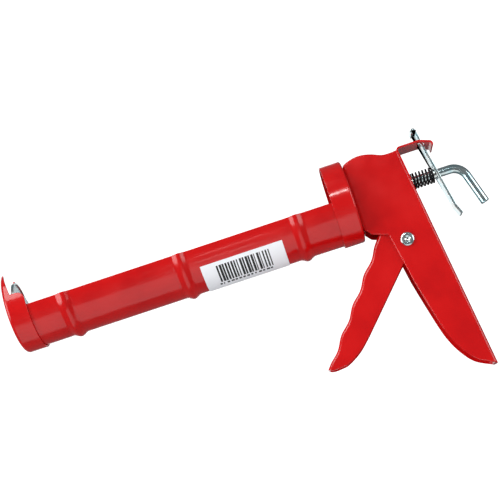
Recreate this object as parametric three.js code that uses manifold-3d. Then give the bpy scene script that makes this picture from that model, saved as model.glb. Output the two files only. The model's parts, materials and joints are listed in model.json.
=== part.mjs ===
// A half-barrel caulking gun with a smooth round rod: a pressed steel cradle between two caps, a
// channel-section handle and trigger, and a gripping-plate drive with a spring-loaded release plate.
//
// Millimetres, +Z up. The gun is built about its rod: X runs back along the rod from the nozzle end
// to the hook, Y runs across, and x = 0 is the front edge of the rear cap. The finished group is
// then moved so that its origin is the centre of the underside of its bounding box.
import * as THREE from 'three';
import { mergeVertices } from 'three/addons/utils/BufferGeometryUtils.js';
import Module from 'manifold-3d';

const wasm = await Module();
wasm.setup();

// ---------------------------------------------------------------- driving dimensions

// Gaps between pieces: FIT_GAP round and beside a piece, FACE_GAP between stacked faces.
const FIT_GAP = 0.3;
const FACE_GAP = 0.15;

// Cartridge bay: a standard 300 ml sealant cartridge, 50 mm across.
const CARTRIDGE_RADIUS = 25;
const CARTRIDGE_CLEARANCE = 0.7;
const BAY_LENGTH = 234.2;

// Cradle: a half pipe with cross beads pressed outwards, its edges a little below the rod's axis.
const CRADLE_SHEET = 1;
const CRADLE_EDGE_DROP = 1.2;
const BEAD_COUNT = 3;
const BEAD_WIDTH = 10.6;
const BEAD_HEIGHT = 2;
const BEAD_REAR_MARGIN = 25.3;
const BEAD_FRONT_MARGIN = 23.9;

// Caps: drawn cups, the front one with a cut-away rim and a slot for the nozzle.
const CAP_SHEET = 1;
const REAR_CAP_DEPTH = 14.4;
const REAR_CAP_CORNER = 1.6;
const FRONT_CAP_DEPTH = 14.2;
const FRONT_CAP_CORNER = 2.6;
const FRONT_RIM_RISE = 8;
const FRONT_RIM_CORNER = 5;
const FRONT_HORN_DEPTH = 5.3;
const FRONT_HORN_TAPER = 11;
const NOZZLE_SLOT_WIDTH = 29;

// Label on the cradle, between the two rear beads.
const LABEL_THICKNESS = 0.2;
const LABEL_REAR_MARGIN = 7.2;
const LABEL_FRONT_MARGIN = 5.7;
const LABEL_TOP_ANGLE = 30;
const LABEL_BOTTOM_ANGLE = 96;

// Handle: a channel open to the front, its spine running on as a strap behind it.
const HANDLE_WIDTH = 24;
const HANDLE_SHEET = 1.2;
const SPINE_SETBACK = 40.4;
const SPINE_LEAN = 5.9;
const HANDLE_FOOT = -130.4;
const STRAP_TOP = 23.1;
const STRAP_LENGTH = 15.5;
const STRAP_BEND = 2;
const STRAP_SLOPE_RUN = 8.2;
const STRAP_SLOPE_DROP = 3;
const STRAP_LIP_RETURN = 0.6;
const STRAP_LIP_DROP = 2.4;
const STRAP_SLOT_LENGTH = 4.2;

// Rivets that hold the handle's flanges to the rear cap.
const RIVET_RADIUS = 1.6;
const RIVET_HEAD_RADIUS = 2.4;
const RIVET_HEAD_HEIGHT = 1.1;
const RIVET_HEIGHT = 14;
const RIVET_EDGE = 1.5;

// Trigger: a channel that nests in the handle and turns on the pivot rivet.
const PIVOT_SETBACK = 25;
const PIVOT_HEIGHT = -36.8;
const PIVOT_RADIUS = 3;
const PIVOT_HEAD_RADIUS = 4.65;
const PIVOT_HEAD_HEIGHT = 1.4;
const PIVOT_DIMPLE_RADIUS = 2.1;
const PIVOT_WASHER_RADIUS = 5.6;
const PIVOT_WASHER_THICKNESS = 0.8;
const TRIGGER_SHEET = 1.2;
const TRIGGER_SIDE_GAP = 0.6;
const TRIGGER_START_SETBACK = 6;
const TRIGGER_START_HEIGHT = -30.9;
const TRIGGER_REACH = 90.1;
const TRIGGER_SPREAD = 38.7;
const TRIGGER_BOSS_RADIUS = 7;
const GRIP_PITCH = 21;
const GRIP_DEPTH = 1.3;
const GRIP_COUNT = 4;

// Nose of the trigger, which pushes the drive plates forward.
const NOSE_RADIUS = 2.5;
const NOSE_ARM = 17;
const NOSE_SETBACK_ANGLE = 21;

// Drive plates, their spring and its washer.
const DRIVE_PLATE_THICKNESS = 2;
const DRIVE_PLATE_SIDE_GAP = 0.5;
const DRIVE_PLATE_TOP = 11;
const DRIVE_PLATE_OVERHANG = 4.1;
const DRIVE_PLATE_BORE_GAP = 0.35;
const DRIVE_SPRING_WIRE = 1.5;
const DRIVE_SPRING_COILS = 5;
const DRIVE_SPRING_BORE_GAP = 2.4;
const SPRING_WASHER_THICKNESS = 1;
const SPRING_WASHER_LIP = 1.2;

// Release plate and its spring, behind the handle.
const RELEASE_SETBACK = 58.2;
const RELEASE_LEAN = 9.4;
const RELEASE_PLATE_THICKNESS = 1.8;
const RELEASE_PLATE_WIDTH = 13;
const RELEASE_FOOT = -30.8;
const RELEASE_HEAD_TOP = 32.9;
const RELEASE_HEAD_BEND = 0.9;
const RELEASE_HEAD_REACH = 1.9;
const RELEASE_HEAD_DROP = 3.6;
const RELEASE_BORE_GAP = 0.75;
const RELEASE_BORE_LIFT = 0.2;
const RELEASE_SPRING_WIRE = 1.2;
const RELEASE_SPRING_COILS = 7;
const RELEASE_SPRING_BORE_GAP = 1.5;

// Rod and plunger.
const ROD_RADIUS = 3;
const ROD_CLEARANCE = 0.9;
const ROD_TAIL = 66.9;
const HOOK_BEND_RADIUS = 10;
const HOOK_ANGLE = 74.6;
const HOOK_LEG = 21.4;
const ROD_TIP_RADIUS = 2.3;
const ROD_TIP_PROUD = 0.5;
const PLUNGER_STANDOFF = 3.4;
const PLUNGER_RADIUS = 19.3;
const PLUNGER_SHEET = 1.2;
const PLUNGER_DISH = 1.5;
const PLUNGER_RIM_DEPTH = 1.8;
const PLUNGER_SEAT_RADIUS = 9;
const BACKING_RADIUS = 9;
const BACKING_THICKNESS = 1.5;
const NUT_WIDTH = 8;
const NUT_THICKNESS = 2.4;
const LOCK_WASHER_RADIUS = 4.2;
const LOCK_WASHER_THICKNESS = 0.8;

// ---------------------------------------------------------------- sizes that follow

const SMOOTH = 48;
const ROUND = 24;
const cradleBore = CARTRIDGE_RADIUS + CARTRIDGE_CLEARANCE;
const cradleRadius = cradleBore + CRADLE_SHEET;
const capRadius = cradleRadius + FIT_GAP + CAP_SHEET;
const rearWall = REAR_CAP_DEPTH - CAP_SHEET;
const frontWall = rearWall - BAY_LENGTH;
const frontFace = frontWall - CAP_SHEET;
const frontRimEdge = frontFace + FRONT_CAP_DEPTH;

// The rear cap's wall is where the handle begins; the handle group's own x = 0 is its front face.
const handleFront = REAR_CAP_DEPTH + FACE_GAP;
const handleInside = HANDLE_WIDTH / 2 - HANDLE_SHEET;
const triggerSide = handleInside - TRIGGER_SIDE_GAP;
const pivot = new THREE.Vector2(PIVOT_SETBACK, PIVOT_HEIGHT);
const noseAngle = THREE.MathUtils.degToRad(NOSE_SETBACK_ANGLE);
const nose = new THREE.Vector2(Math.sin(noseAngle), Math.cos(noseAngle)).multiplyScalar(NOSE_ARM).add(pivot);
const drivePlateRear = nose.x - NOSE_RADIUS - FACE_GAP;
const rodHole = ROD_RADIUS + ROD_CLEARANCE;
const rivetSide = handleInside - RIVET_HEAD_RADIUS - FIT_GAP;
const rivetHole = RIVET_RADIUS + FIT_GAP;
const flangeWindow = Math.max(rivetSide - rivetHole - RIVET_EDGE, rodHole);
const plungerFace = frontWall + PLUNGER_STANDOFF;
const plungerSeat = plungerFace + PLUNGER_DISH;
const rodShoulder = plungerSeat + PLUNGER_SHEET + FACE_GAP + BACKING_THICKNESS + FACE_GAP;

// ---------------------------------------------------------------- shape helpers

const point = (x, z) => new THREE.Vector2(x, z);
const sine = (degrees) => Math.sin(THREE.MathUtils.degToRad(degrees));
const cosine = (degrees) => Math.cos(THREE.MathUtils.degToRad(degrees));
const tangent = (degrees) => Math.tan(THREE.MathUtils.degToRad(degrees));

/** A closed geometry as a solid that can be cut and joined. */
function solidOf(geometry) {
  const bare = geometry.clone();
  bare.deleteAttribute('normal');
  bare.deleteAttribute('uv');
  const merged = mergeVertices(bare);
  const corners = merged.index.array;
  const triangles = [];
  for (let i = 0; i < corners.length; i += 3) {
    const [a, b, c] = corners.slice(i, i + 3);
    if (a !== b && b !== c && c !== a) triangles.push(a, b, c);
  }
  return new wasm.Manifold(new wasm.Mesh({
    numProp: 3,
    vertProperties: merged.attributes.position.array,
    triVerts: new Uint32Array(triangles),
  }));
}

/** A solid as a geometry with flat faces. */
function geometryOf(solid) {
  const mesh = solid.getMesh();
  const geometry = new THREE.BufferGeometry();
  geometry.setAttribute('position', new THREE.BufferAttribute(mesh.vertProperties, 3));
  geometry.setIndex(new THREE.BufferAttribute(mesh.triVerts, 1));
  const faceted = geometry.toNonIndexed();
  faceted.computeVertexNormals();
  return faceted;
}

/** One geometry with others cut out of it. */
function cut(geometry, ...tools) {
  const solid = tools.reduce((left, tool) => left.subtract(solidOf(tool)), solidOf(geometry));
  return geometryOf(solid);
}

/** Several geometries joined into one. */
function join(first, ...others) {
  return geometryOf(others.reduce((sum, other) => sum.add(solidOf(other)), solidOf(first)));
}

/** A block between two corners. */
function block(low, high) {
  const size = high.map((value, axis) => value - low[axis]);
  const middle = high.map((value, axis) => (value + low[axis]) / 2);
  return new THREE.BoxGeometry(...size).translate(...middle);
}

/** An outline in the X-Z plane, extruded across the gun and centred on it. */
function sidePlate(outline, width) {
  const geometry = new THREE.ExtrudeGeometry(new THREE.Shape(outline), { depth: width, bevelEnabled: false });
  return geometry.translate(0, 0, -width / 2).rotateX(Math.PI / 2);
}

const ACROSS = new THREE.Matrix4().makeBasis(
  new THREE.Vector3(0, 1, 0),
  new THREE.Vector3(0, 0, 1),
  new THREE.Vector3(1, 0, 0),
);

/** A shape in the Y-Z plane, extruded back from x = start. */
function crossPlate(shape, start, thickness) {
  const geometry = new THREE.ExtrudeGeometry(shape, { depth: thickness, bevelEnabled: false, curveSegments: 6 });
  return geometry.applyMatrix4(ACROSS).translate(start, 0, 0);
}

/** A profile of [radius, height] pairs turned about the X axis; facing -1 turns its height forwards. */
function turned(profile, start, facing = 1, sides = SMOOTH) {
  const points = profile.map(([radius, height]) => point(radius, height));
  return new THREE.LatheGeometry(points, sides).rotateZ(-facing * Math.PI / 2).translate(start, 0, 0);
}

/** A round bar along X. */
function barX(radius, start, end, sides = ROUND) {
  const bar = new THREE.CylinderGeometry(radius, radius, end - start, sides);
  return bar.rotateZ(-Math.PI / 2).translate((start + end) / 2, 0, 0);
}

/** A flat ring about X. */
function ringX(bore, radius, start, thickness, sides = ROUND) {
  return turned([[bore, 0], [radius, 0], [radius, thickness], [bore, thickness], [bore, 0]], start, 1, sides);
}

/** An arc's points in the X-Z plane, angles in degrees from +X towards +Z. */
function arc(centre, radius, from, to, steps) {
  return Array.from({ length: steps + 1 }, (_, i) => {
    const angle = from + (to - from) * i / steps;
    return point(centre.x + radius * cosine(angle), centre.y + radius * sine(angle));
  });
}

/** The points of a line whose inner corners are rounded to one radius. */
function roundedLine(corners, radius, steps = 5) {
  const inner = corners.slice(1, -1).flatMap((corner, i) => {
    const back = corners[i].clone().sub(corner).normalize();
    const ahead = corners[i + 2].clone().sub(corner).normalize();
    const half = Math.acos(back.dot(ahead)) / 2;
    const centre = back.clone().add(ahead).normalize().multiplyScalar(radius / Math.sin(half)).add(corner);
    const entry = back.clone().multiplyScalar(radius / Math.tan(half)).add(corner);
    const arm = entry.clone().sub(centre);
    const turn = Math.sign(arm.cross(corner.clone().sub(entry))) * (Math.PI - 2 * half);
    return Array.from({ length: steps + 1 }, (_, step) =>
      arm.clone().rotateAround(point(0, 0), turn * step / steps).add(centre));
  });
  return [corners[0], ...inner, corners.at(-1)];
}

/** A line moved sideways, to its left, by a distance. */
function shifted(line, distance) {
  const ways = line.slice(1).map((next, i) => next.clone().sub(line[i]).normalize());
  return line.map((here, i) => {
    const into = ways[Math.max(i - 1, 0)];
    const out = ways[Math.min(i, ways.length - 1)];
    const along = into.clone().add(out).normalize();
    const stretch = distance / along.dot(out);
    return here.clone().add(point(-along.y * stretch, along.x * stretch));
  });
}

/** The outline of a strip of sheet whose middle follows a line. */
function strip(line, thickness) {
  return [...shifted(line, thickness / 2), ...shifted(line, -thickness / 2).reverse()];
}

/** A path that an extrusion follows exactly from station to station. */
class StationPath extends THREE.Curve {
  constructor(stations) {
    super();
    this.stations = stations;
  }

  getPoint(t, target = new THREE.Vector3()) {
    const along = t * (this.stations.length - 1);
    const index = Math.min(Math.floor(along), this.stations.length - 2);
    return target.lerpVectors(this.stations[index], this.stations[index + 1], along - index);
  }

  getUtoTmapping(u) {
    return u;
  }
}

/** A round wire through stations. */
function wire(stations, radius, sides) {
  const section = new THREE.Shape(arc(point(0, 0), radius, 0, 360 - 360 / sides, sides - 1));
  return new THREE.ExtrudeGeometry(section, {
    steps: stations.length - 1,
    extrudePath: new StationPath(stations),
  });
}

/** A coil spring about X with a closed turn at each end, reaching from x = start to x = end. */
function coilSpring(start, end, coilRadius, wireDiameter, coils) {
  const perTurn = 14;
  const sides = 6;
  const closedPitch = wireDiameter + FIT_GAP;
  const run = end - start - wireDiameter;
  const openPitch = (run - 2 * closedPitch) / (coils - 2);
  const stations = Array.from({ length: coils * perTurn + 1 }, (_, i) => {
    const turns = i / perTurn;
    const closedTurns = Math.min(turns, 1) + Math.max(turns - (coils - 1), 0);
    const along = closedTurns * closedPitch + (turns - closedTurns) * openPitch;
    const angle = turns * 360;
    return new THREE.Vector3(start + wireDiameter / 2 + along, coilRadius * sine(angle), coilRadius * cosine(angle));
  });
  return wire(stations, wireDiameter / 2, sides);
}

// ---------------------------------------------------------------- finishes

const enamel = { color: 0xc41512, roughness: 0.25, metalness: 0 };
const zinc = { color: 0xbfc7c9, roughness: 0.3, metalness: 1 };
const blackened = { color: 0x25262a, roughness: 0.45, metalness: 0.8 };
const paper = { color: 0xf2f2ee, roughness: 0.6, metalness: 0 };

/** A named piece with a material of its own. */
function piece(name, geometry, finish) {
  const mesh = new THREE.Mesh(geometry, new THREE.MeshStandardMaterial(finish));
  mesh.name = name;
  return mesh;
}

// ---------------------------------------------------------------- barrel

/** Middle of each bead, from the rear cap forwards. */
function beadCentres() {
  const first = -BEAD_REAR_MARGIN;
  const last = frontRimEdge + BEAD_FRONT_MARGIN;
  return Array.from({ length: BEAD_COUNT }, (_, i) => first + (last - first) * i / (BEAD_COUNT - 1));
}

/** The cradle's wall from front to back as [radius, x] pairs, raised over each bead. */
function cradleWall(radius) {
  const steps = 6;
  const beads = beadCentres().reverse().flatMap((centre) =>
    Array.from({ length: steps + 1 }, (_, i) => {
      const across = i / steps;
      const rise = BEAD_HEIGHT * (1 - Math.cos(2 * Math.PI * across)) / 2;
      return [radius + rise, centre + BEAD_WIDTH * (across - 0.5)];
    }));
  const front = frontFace + FRONT_CAP_CORNER + FACE_GAP;
  const back = REAR_CAP_DEPTH - REAR_CAP_CORNER - FACE_GAP;
  return [[radius, front], ...beads, [radius, back]];
}

function cradle() {
  const outer = cradleWall(cradleRadius);
  const inner = cradleWall(cradleBore).reverse();
  const pipe = turned([...outer, ...inner, outer[0]], 0);
  const reach = capRadius + BEAD_HEIGHT;
  return cut(pipe, block([frontFace, -reach, -CRADLE_EDGE_DROP], [REAR_CAP_DEPTH, reach, reach]));
}

/** The wall of a drawn cup, from the hole in its floor round to the inside, as [radius, height]. */
function cupWall(depth, corner, hole) {
  const bend = corner - CAP_SHEET;
  const middle = capRadius - corner;
  const outerCorner = arc(point(middle, corner), corner, -90, 0, 5).map((p) => [p.x, p.y]);
  const innerCorner = arc(point(middle, corner), bend, 0, -90, 3).map((p) => [p.x, p.y]);
  const floor = hole > 0 ? [[hole, CAP_SHEET], [hole, 0]] : [[0, CAP_SHEET]];
  return [[hole, 0], ...outerCorner, [capRadius, depth], [capRadius - CAP_SHEET, depth], ...innerCorner, ...floor];
}

function frontCap() {
  const cup = turned(cupWall(FRONT_CAP_DEPTH, FRONT_CAP_CORNER, 0), frontFace);
  const reach = capRadius + FIT_GAP;
  const hornFoot = frontFace + FRONT_HORN_DEPTH;
  const hornTaper = (reach - FRONT_RIM_RISE) * sine(FRONT_HORN_TAPER) / cosine(FRONT_HORN_TAPER);
  const cutAway = [
    point(hornFoot - hornTaper, reach),
    point(hornFoot, FRONT_RIM_RISE),
    ...arc(point(frontRimEdge - FRONT_RIM_CORNER, FRONT_RIM_RISE - FRONT_RIM_CORNER), FRONT_RIM_CORNER, 90, 0, 5),
    point(frontRimEdge + CAP_SHEET, FRONT_RIM_RISE - FRONT_RIM_CORNER),
    point(frontRimEdge + CAP_SHEET, reach),
  ];
  const slot = new THREE.Shape();
  slot.absarc(0, 0, NOZZLE_SLOT_WIDTH / 2, -Math.PI, 0);
  slot.lineTo(NOZZLE_SLOT_WIDTH / 2, reach);
  slot.lineTo(-NOZZLE_SLOT_WIDTH / 2, reach);
  const slotCut = crossPlate(slot, frontFace - CAP_SHEET, FRONT_CAP_DEPTH);
  return cut(cup, sidePlate(cutAway, 2 * reach), slotCut);
}

/** Places of the rivets across and up the rear cap's wall. */
const rivetPlaces = [-1, 1].flatMap((side) => [-1, 1].map((level) => [side * rivetSide, level * RIVET_HEIGHT]));

/** A bar along X at each rivet's place. */
function rivetHoles(start, end) {
  return rivetPlaces.map(([y, z]) => barX(rivetHole, start, end, 16).translate(0, y, z));
}

function rearCap() {
  const cup = turned(cupWall(REAR_CAP_DEPTH, REAR_CAP_CORNER, rodHole), REAR_CAP_DEPTH, -1);
  return cut(cup, ...rivetHoles(rearWall - CAP_SHEET, REAR_CAP_DEPTH + CAP_SHEET));
}

/** A rivet through the rear cap's wall and a handle flange, with a low domed head at each end. */
function capRivet([y, z]) {
  const dome = arc(point(0, 0), 1, 90, 0, 4).map((p) => [p.x * RIVET_HEAD_RADIUS, p.y * RIVET_HEAD_HEIGHT]);
  const grip = CAP_SHEET + HANDLE_SHEET + 3 * FACE_GAP;
  const lower = dome.map(([radius, height]) => [radius, -height]);
  const upper = dome.slice().reverse().map(([radius, height]) => [radius, grip + height]);
  const profile = [...lower, [RIVET_RADIUS, 0], [RIVET_RADIUS, grip], ...upper];
  return turned(profile, rearWall - FACE_GAP, 1, 16).translate(0, y, z);
}

/** The label: a thin strip wrapped round the near side of the cradle between the two rear beads. */
function label() {
  const [rearBead, nextBead] = beadCentres();
  const rear = rearBead - BEAD_WIDTH / 2 - LABEL_REAR_MARGIN;
  const front = nextBead + BEAD_WIDTH / 2 + LABEL_FRONT_MARGIN;
  const bore = cradleRadius + FACE_GAP;
  const steps = 10;
  const sweep = (radius, from, to) => arc(point(0, 0), radius, from, to, steps);
  const low = 180 + LABEL_TOP_ANGLE;
  const high = 180 + LABEL_BOTTOM_ANGLE;
  const outline = [...sweep(bore + LABEL_THICKNESS, low, high), ...sweep(bore, high, low)];
  return crossPlate(new THREE.Shape(outline), front, rear - front);
}

// ---------------------------------------------------------------- handle

/** The outer face of the spine at a height. */
const spineAt = (z) => point(SPINE_SETBACK - z * tangent(SPINE_LEAN), z);

/** Where the release plate's middle line passes a height. */
const releaseAt = (z) => point(RELEASE_SETBACK - z * tangent(RELEASE_LEAN), z);

/** The handle's side: belly, palm edge, foot, spine and crown. */
function handleSide() {
  const belly = roundedLine([point(0, -10), point(0, -21.6), point(4.4, -26.8), point(14, -30.2)], 3);
  const palmEdge = new THREE.SplineCurve([
    point(14.6, -31.4),
    point(18.1, -51.9),
    point(20.3, -65.2),
    point(26.9, -94.6),
    point(31, -107.5),
    point(36.2, -117.1),
    point(42.6, -124.5),
    spineAt(HANDLE_FOOT).add(point(-1.2, 0.6)),
  ]).getPoints(24);
  const crown = new THREE.SplineCurve([
    point(38.2, 21.4),
    point(32.3, 21),
    point(27.2, 21.4),
    point(20.2, 24.2),
    point(13.5, 25.6),
    point(7.3, 25.1),
    point(1.5, 23),
    point(0, 20.5),
  ]).getPoints(18);
  return [...belly, ...palmEdge, spineAt(HANDLE_FOOT), spineAt(20), ...crown];
}

/** The line down the middle of the upper spine, the strap behind it and its turned-down lip. */
function strapLine() {
  const half = HANDLE_SHEET / 2;
  const level = STRAP_TOP - half;
  const spine = spineAt(level).x - half;
  const end = spine + STRAP_LENGTH;
  const shoulder = point(end + STRAP_SLOPE_RUN, level - STRAP_SLOPE_DROP);
  const corners = [
    spineAt(0).sub(point(half, 0)),
    point(spine, level),
    point(end, level),
    shoulder,
    shoulder.clone().add(point(-STRAP_LIP_RETURN, -STRAP_LIP_DROP)),
  ];
  return roundedLine(corners, STRAP_BEND);
}

function handle() {
  const sides = sidePlate(handleSide(), HANDLE_WIDTH);
  const inside = [
    point(HANDLE_SHEET, HANDLE_FOOT - 10),
    spineAt(HANDLE_FOOT - 10).sub(point(HANDLE_SHEET, 0)),
    spineAt(STRAP_TOP).sub(point(HANDLE_SHEET, 0)),
    point(HANDLE_SHEET, 2 * STRAP_TOP),
  ];
  const window = block([-1, -flangeWindow, -40], [HANDLE_SHEET + 1, flangeWindow, 40]);
  const channel = cut(sides, sidePlate(inside, 2 * handleInside), window);
  const strap = sidePlate(strip(strapLine(), HANDLE_SHEET), HANDLE_WIDTH);
  const slotMiddle = releaseAt(STRAP_TOP - HANDLE_SHEET / 2).x;
  const slotSide = RELEASE_PLATE_WIDTH / 2 + FIT_GAP;
  const slot = block(
    [slotMiddle - STRAP_SLOT_LENGTH / 2, -slotSide, STRAP_TOP - 2.5 * HANDLE_SHEET],
    [slotMiddle + STRAP_SLOT_LENGTH / 2, slotSide, STRAP_TOP + HANDLE_SHEET],
  );
  const pivotHole = barY(PIVOT_RADIUS + FIT_GAP, HANDLE_WIDTH + 2).translate(pivot.x, 0, pivot.y);
  const rodPassage = barX(rodHole, SPINE_SETBACK - 4 * HANDLE_SHEET, SPINE_SETBACK + 2 * HANDLE_SHEET);
  return cut(join(channel, strap), slot, pivotHole, rodPassage, ...rivetHoles(-1, HANDLE_SHEET + 1));
}

/** A round bar along Y, centred. */
function barY(radius, length) {
  return new THREE.CylinderGeometry(radius, radius, length, ROUND);
}

// ---------------------------------------------------------------- trigger and pivot

/** The finger side of the trigger, from under the handle to the toe, with a shallow hollow per finger. */
function fingerLine() {
  const start = point(TRIGGER_START_SETBACK, TRIGGER_START_HEIGHT);
  const along = point(-sine(TRIGGER_SPREAD), -cosine(TRIGGER_SPREAD));
  const outward = point(-cosine(TRIGGER_SPREAD), sine(TRIGGER_SPREAD));
  const perGrip = 8;
  const first = (TRIGGER_REACH - GRIP_COUNT * GRIP_PITCH) / 2;
  const grips = Array.from({ length: GRIP_COUNT * perGrip + 1 }, (_, i) => {
    const hollow = GRIP_DEPTH * (1 - Math.cos(2 * Math.PI * i / perGrip)) / 2;
    return [first + GRIP_PITCH * i / perGrip, -hollow];
  });
  const stations = [[-4, 0], ...grips, [TRIGGER_REACH, 0]];
  return stations.map(([reach, depth]) =>
    start.clone().addScaledVector(along, reach).addScaledVector(outward, depth));
}

/** The trigger's side: finger line, toe, straight back edge, pivot boss and nose. */
function triggerSideOutline() {
  const front = fingerLine();
  const toe = front.at(-1);
  const under = new THREE.SplineCurve([
    toe,
    toe.clone().add(point(3.5, -1.3)),
    toe.clone().add(point(9, -1.1)),
    toe.clone().add(point(14.4, 0)),
    toe.clone().add(point(23.8, 5.4)),
    toe.clone().add(point(32.8, 13.6)),
  ]).getPoints(15).slice(1);
  const back = toe.clone().add(point(67.3, 49.6));
  const boss = arc(pivot, TRIGGER_BOSS_RADIUS, -60, 20, 7);
  const tip = arc(nose, NOSE_RADIUS, 0, 180, 8);
  const underPlate = nose.y - DRIVE_PLATE_OVERHANG - FIT_GAP;
  const throat = [
    point(nose.x - NOSE_RADIUS + FIT_GAP, underPlate),
    point(nose.x - NOSE_RADIUS - 1, underPlate - 1),
    point((nose.x + TRIGGER_START_SETBACK) / 2, underPlate - 2.4),
  ];
  return [...front, ...under, back, ...boss, ...tip, ...throat];
}

function trigger() {
  const sides = sidePlate(triggerSideOutline(), 2 * triggerSide);
  const web = shifted(fingerLine(), TRIGGER_SHEET);
  const hollow = [
    web[0].clone().add(point(4, 60)),
    ...web,
    web.at(-1).clone().add(point(0, -30)),
    web.at(-1).clone().add(point(200, -30)),
    web[0].clone().add(point(200, 60)),
  ];
  const bored = barY(PIVOT_RADIUS + FIT_GAP, HANDLE_WIDTH).translate(pivot.x, 0, pivot.y);
  return cut(sides, sidePlate(hollow, 2 * (triggerSide - TRIGGER_SHEET)), bored);
}

/** The washer's place on the far side of the handle. */
const washerFace = HANDLE_WIDTH / 2 + FACE_GAP;

function pivotRivet() {
  const near = -HANDLE_WIDTH / 2 - FACE_GAP;
  const far = washerFace + PIVOT_WASHER_THICKNESS + FACE_GAP;
  const crown = arc(point(PIVOT_HEAD_RADIUS - PIVOT_HEAD_HEIGHT, 0), PIVOT_HEAD_HEIGHT, 0, 90, 4);
  const dimple = [point(PIVOT_DIMPLE_RADIUS + 0.5, PIVOT_HEAD_HEIGHT), point(PIVOT_DIMPLE_RADIUS, 0), point(0, 0)];
  const head = [...crown, ...dimple].map((p) => [p.x, p.y]);
  const nearHead = head.slice().reverse().map(([radius, height]) => point(radius, near - height));
  const farHead = head.map(([radius, height]) => point(radius, far + height));
  const profile = [...nearHead, point(PIVOT_RADIUS, near), point(PIVOT_RADIUS, far), ...farHead];
  return new THREE.LatheGeometry(profile, ROUND).translate(pivot.x, 0, pivot.y);
}

function pivotWasher() {
  const bore = PIVOT_RADIUS + FIT_GAP;
  const section = [
    point(bore, 0),
    point(PIVOT_WASHER_RADIUS, 0),
    point(PIVOT_WASHER_RADIUS, PIVOT_WASHER_THICKNESS),
    point(bore, PIVOT_WASHER_THICKNESS),
    point(bore, 0),
  ];
  return new THREE.LatheGeometry(section, ROUND).translate(pivot.x, washerFace, pivot.y);
}

// ---------------------------------------------------------------- drive

/** A drive plate with its rear face at x = rear. */
function drivePlate(rear) {
  const side = handleInside - DRIVE_PLATE_SIDE_GAP;
  const foot = nose.y - DRIVE_PLATE_OVERHANG;
  const corner = 4;
  const outline = new THREE.Shape();
  outline.moveTo(-side, foot);
  outline.lineTo(side, foot);
  outline.lineTo(side, DRIVE_PLATE_TOP - corner);
  outline.absarc(side - corner, DRIVE_PLATE_TOP - corner, corner, 0, Math.PI / 2);
  outline.absarc(corner - side, DRIVE_PLATE_TOP - corner, corner, Math.PI / 2, Math.PI);
  const plate = crossPlate(outline, rear - DRIVE_PLATE_THICKNESS, DRIVE_PLATE_THICKNESS);
  return cut(plate, barX(ROD_RADIUS + DRIVE_PLATE_BORE_GAP, rear - 2 * DRIVE_PLATE_THICKNESS, rear + 1));
}

const drivePlateStep = DRIVE_PLATE_THICKNESS + FACE_GAP;
const driveSpringRadius = ROD_RADIUS + DRIVE_SPRING_BORE_GAP + DRIVE_SPRING_WIRE / 2;
const springWasherFace = HANDLE_SHEET + FACE_GAP;

function driveSpring() {
  const start = springWasherFace + SPRING_WASHER_THICKNESS + FACE_GAP;
  const end = drivePlateRear - drivePlateStep - DRIVE_PLATE_THICKNESS - FACE_GAP;
  return coilSpring(start, end, driveSpringRadius, DRIVE_SPRING_WIRE, DRIVE_SPRING_COILS);
}

function springWasher() {
  const radius = Math.max(driveSpringRadius + DRIVE_SPRING_WIRE / 2, flangeWindow) + SPRING_WASHER_LIP;
  return ringX(ROD_RADIUS + ROD_CLEARANCE, radius, springWasherFace, SPRING_WASHER_THICKNESS);
}

// ---------------------------------------------------------------- release

function releasePlate() {
  const bend = RELEASE_HEAD_BEND;
  const half = RELEASE_PLATE_THICKNESS / 2;
  const crest = RELEASE_HEAD_TOP - half;
  const brow = releaseAt(crest).add(point(-RELEASE_HEAD_REACH, 0));
  const corners = [
    releaseAt(RELEASE_FOOT + 4).add(point(2.2, -4)),
    releaseAt(RELEASE_FOOT + 6),
    releaseAt(crest),
    brow,
    brow.clone().add(point(0, half - RELEASE_HEAD_DROP)),
  ];
  const line = [corners[0], ...roundedLine(corners.slice(1), bend)];
  const whole = sidePlate(strip(line, RELEASE_PLATE_THICKNESS), RELEASE_PLATE_WIDTH);
  const bore = barX(ROD_RADIUS + RELEASE_BORE_GAP, -6, 6);
  bore.rotateY(THREE.MathUtils.degToRad(RELEASE_LEAN)).translate(RELEASE_SETBACK, 0, RELEASE_BORE_LIFT);
  return cut(whole, bore);
}

function releaseSpring() {
  const coil = ROD_RADIUS + RELEASE_SPRING_BORE_GAP + RELEASE_SPRING_WIRE / 2;
  const outside = coil + RELEASE_SPRING_WIRE / 2;
  const start = spineAt(-outside).x + FACE_GAP;
  const plateFace = RELEASE_PLATE_THICKNESS / 2 / cosine(RELEASE_LEAN);
  const end = releaseAt(outside).x - plateFace - FACE_GAP;
  return coilSpring(start, end, coil, RELEASE_SPRING_WIRE, RELEASE_SPRING_COILS);
}

// ---------------------------------------------------------------- rod and plunger

function rod() {
  const bendStart = handleFront + ROD_TAIL;
  const bendCentre = point(bendStart, -HOOK_BEND_RADIUS);
  const bend = arc(bendCentre, HOOK_BEND_RADIUS, 90, 90 - HOOK_ANGLE, 9);
  const legWay = point(sine(90 - HOOK_ANGLE), -cosine(90 - HOOK_ANGLE));
  const legEnd = bend.at(-1).clone().addScaledVector(legWay, HOOK_LEG);
  const route = [point(rodShoulder, 0), ...bend, legEnd];
  const shaft = wire(route.map((p) => new THREE.Vector3(p.x, 0, p.y)), ROD_RADIUS, 18);
  const tipEnd = plungerSeat - FACE_GAP - LOCK_WASHER_THICKNESS - FACE_GAP - NUT_THICKNESS - ROD_TIP_PROUD;
  return join(shaft, barX(ROD_TIP_RADIUS, tipEnd, rodShoulder + ROD_RADIUS, 18));
}

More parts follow.
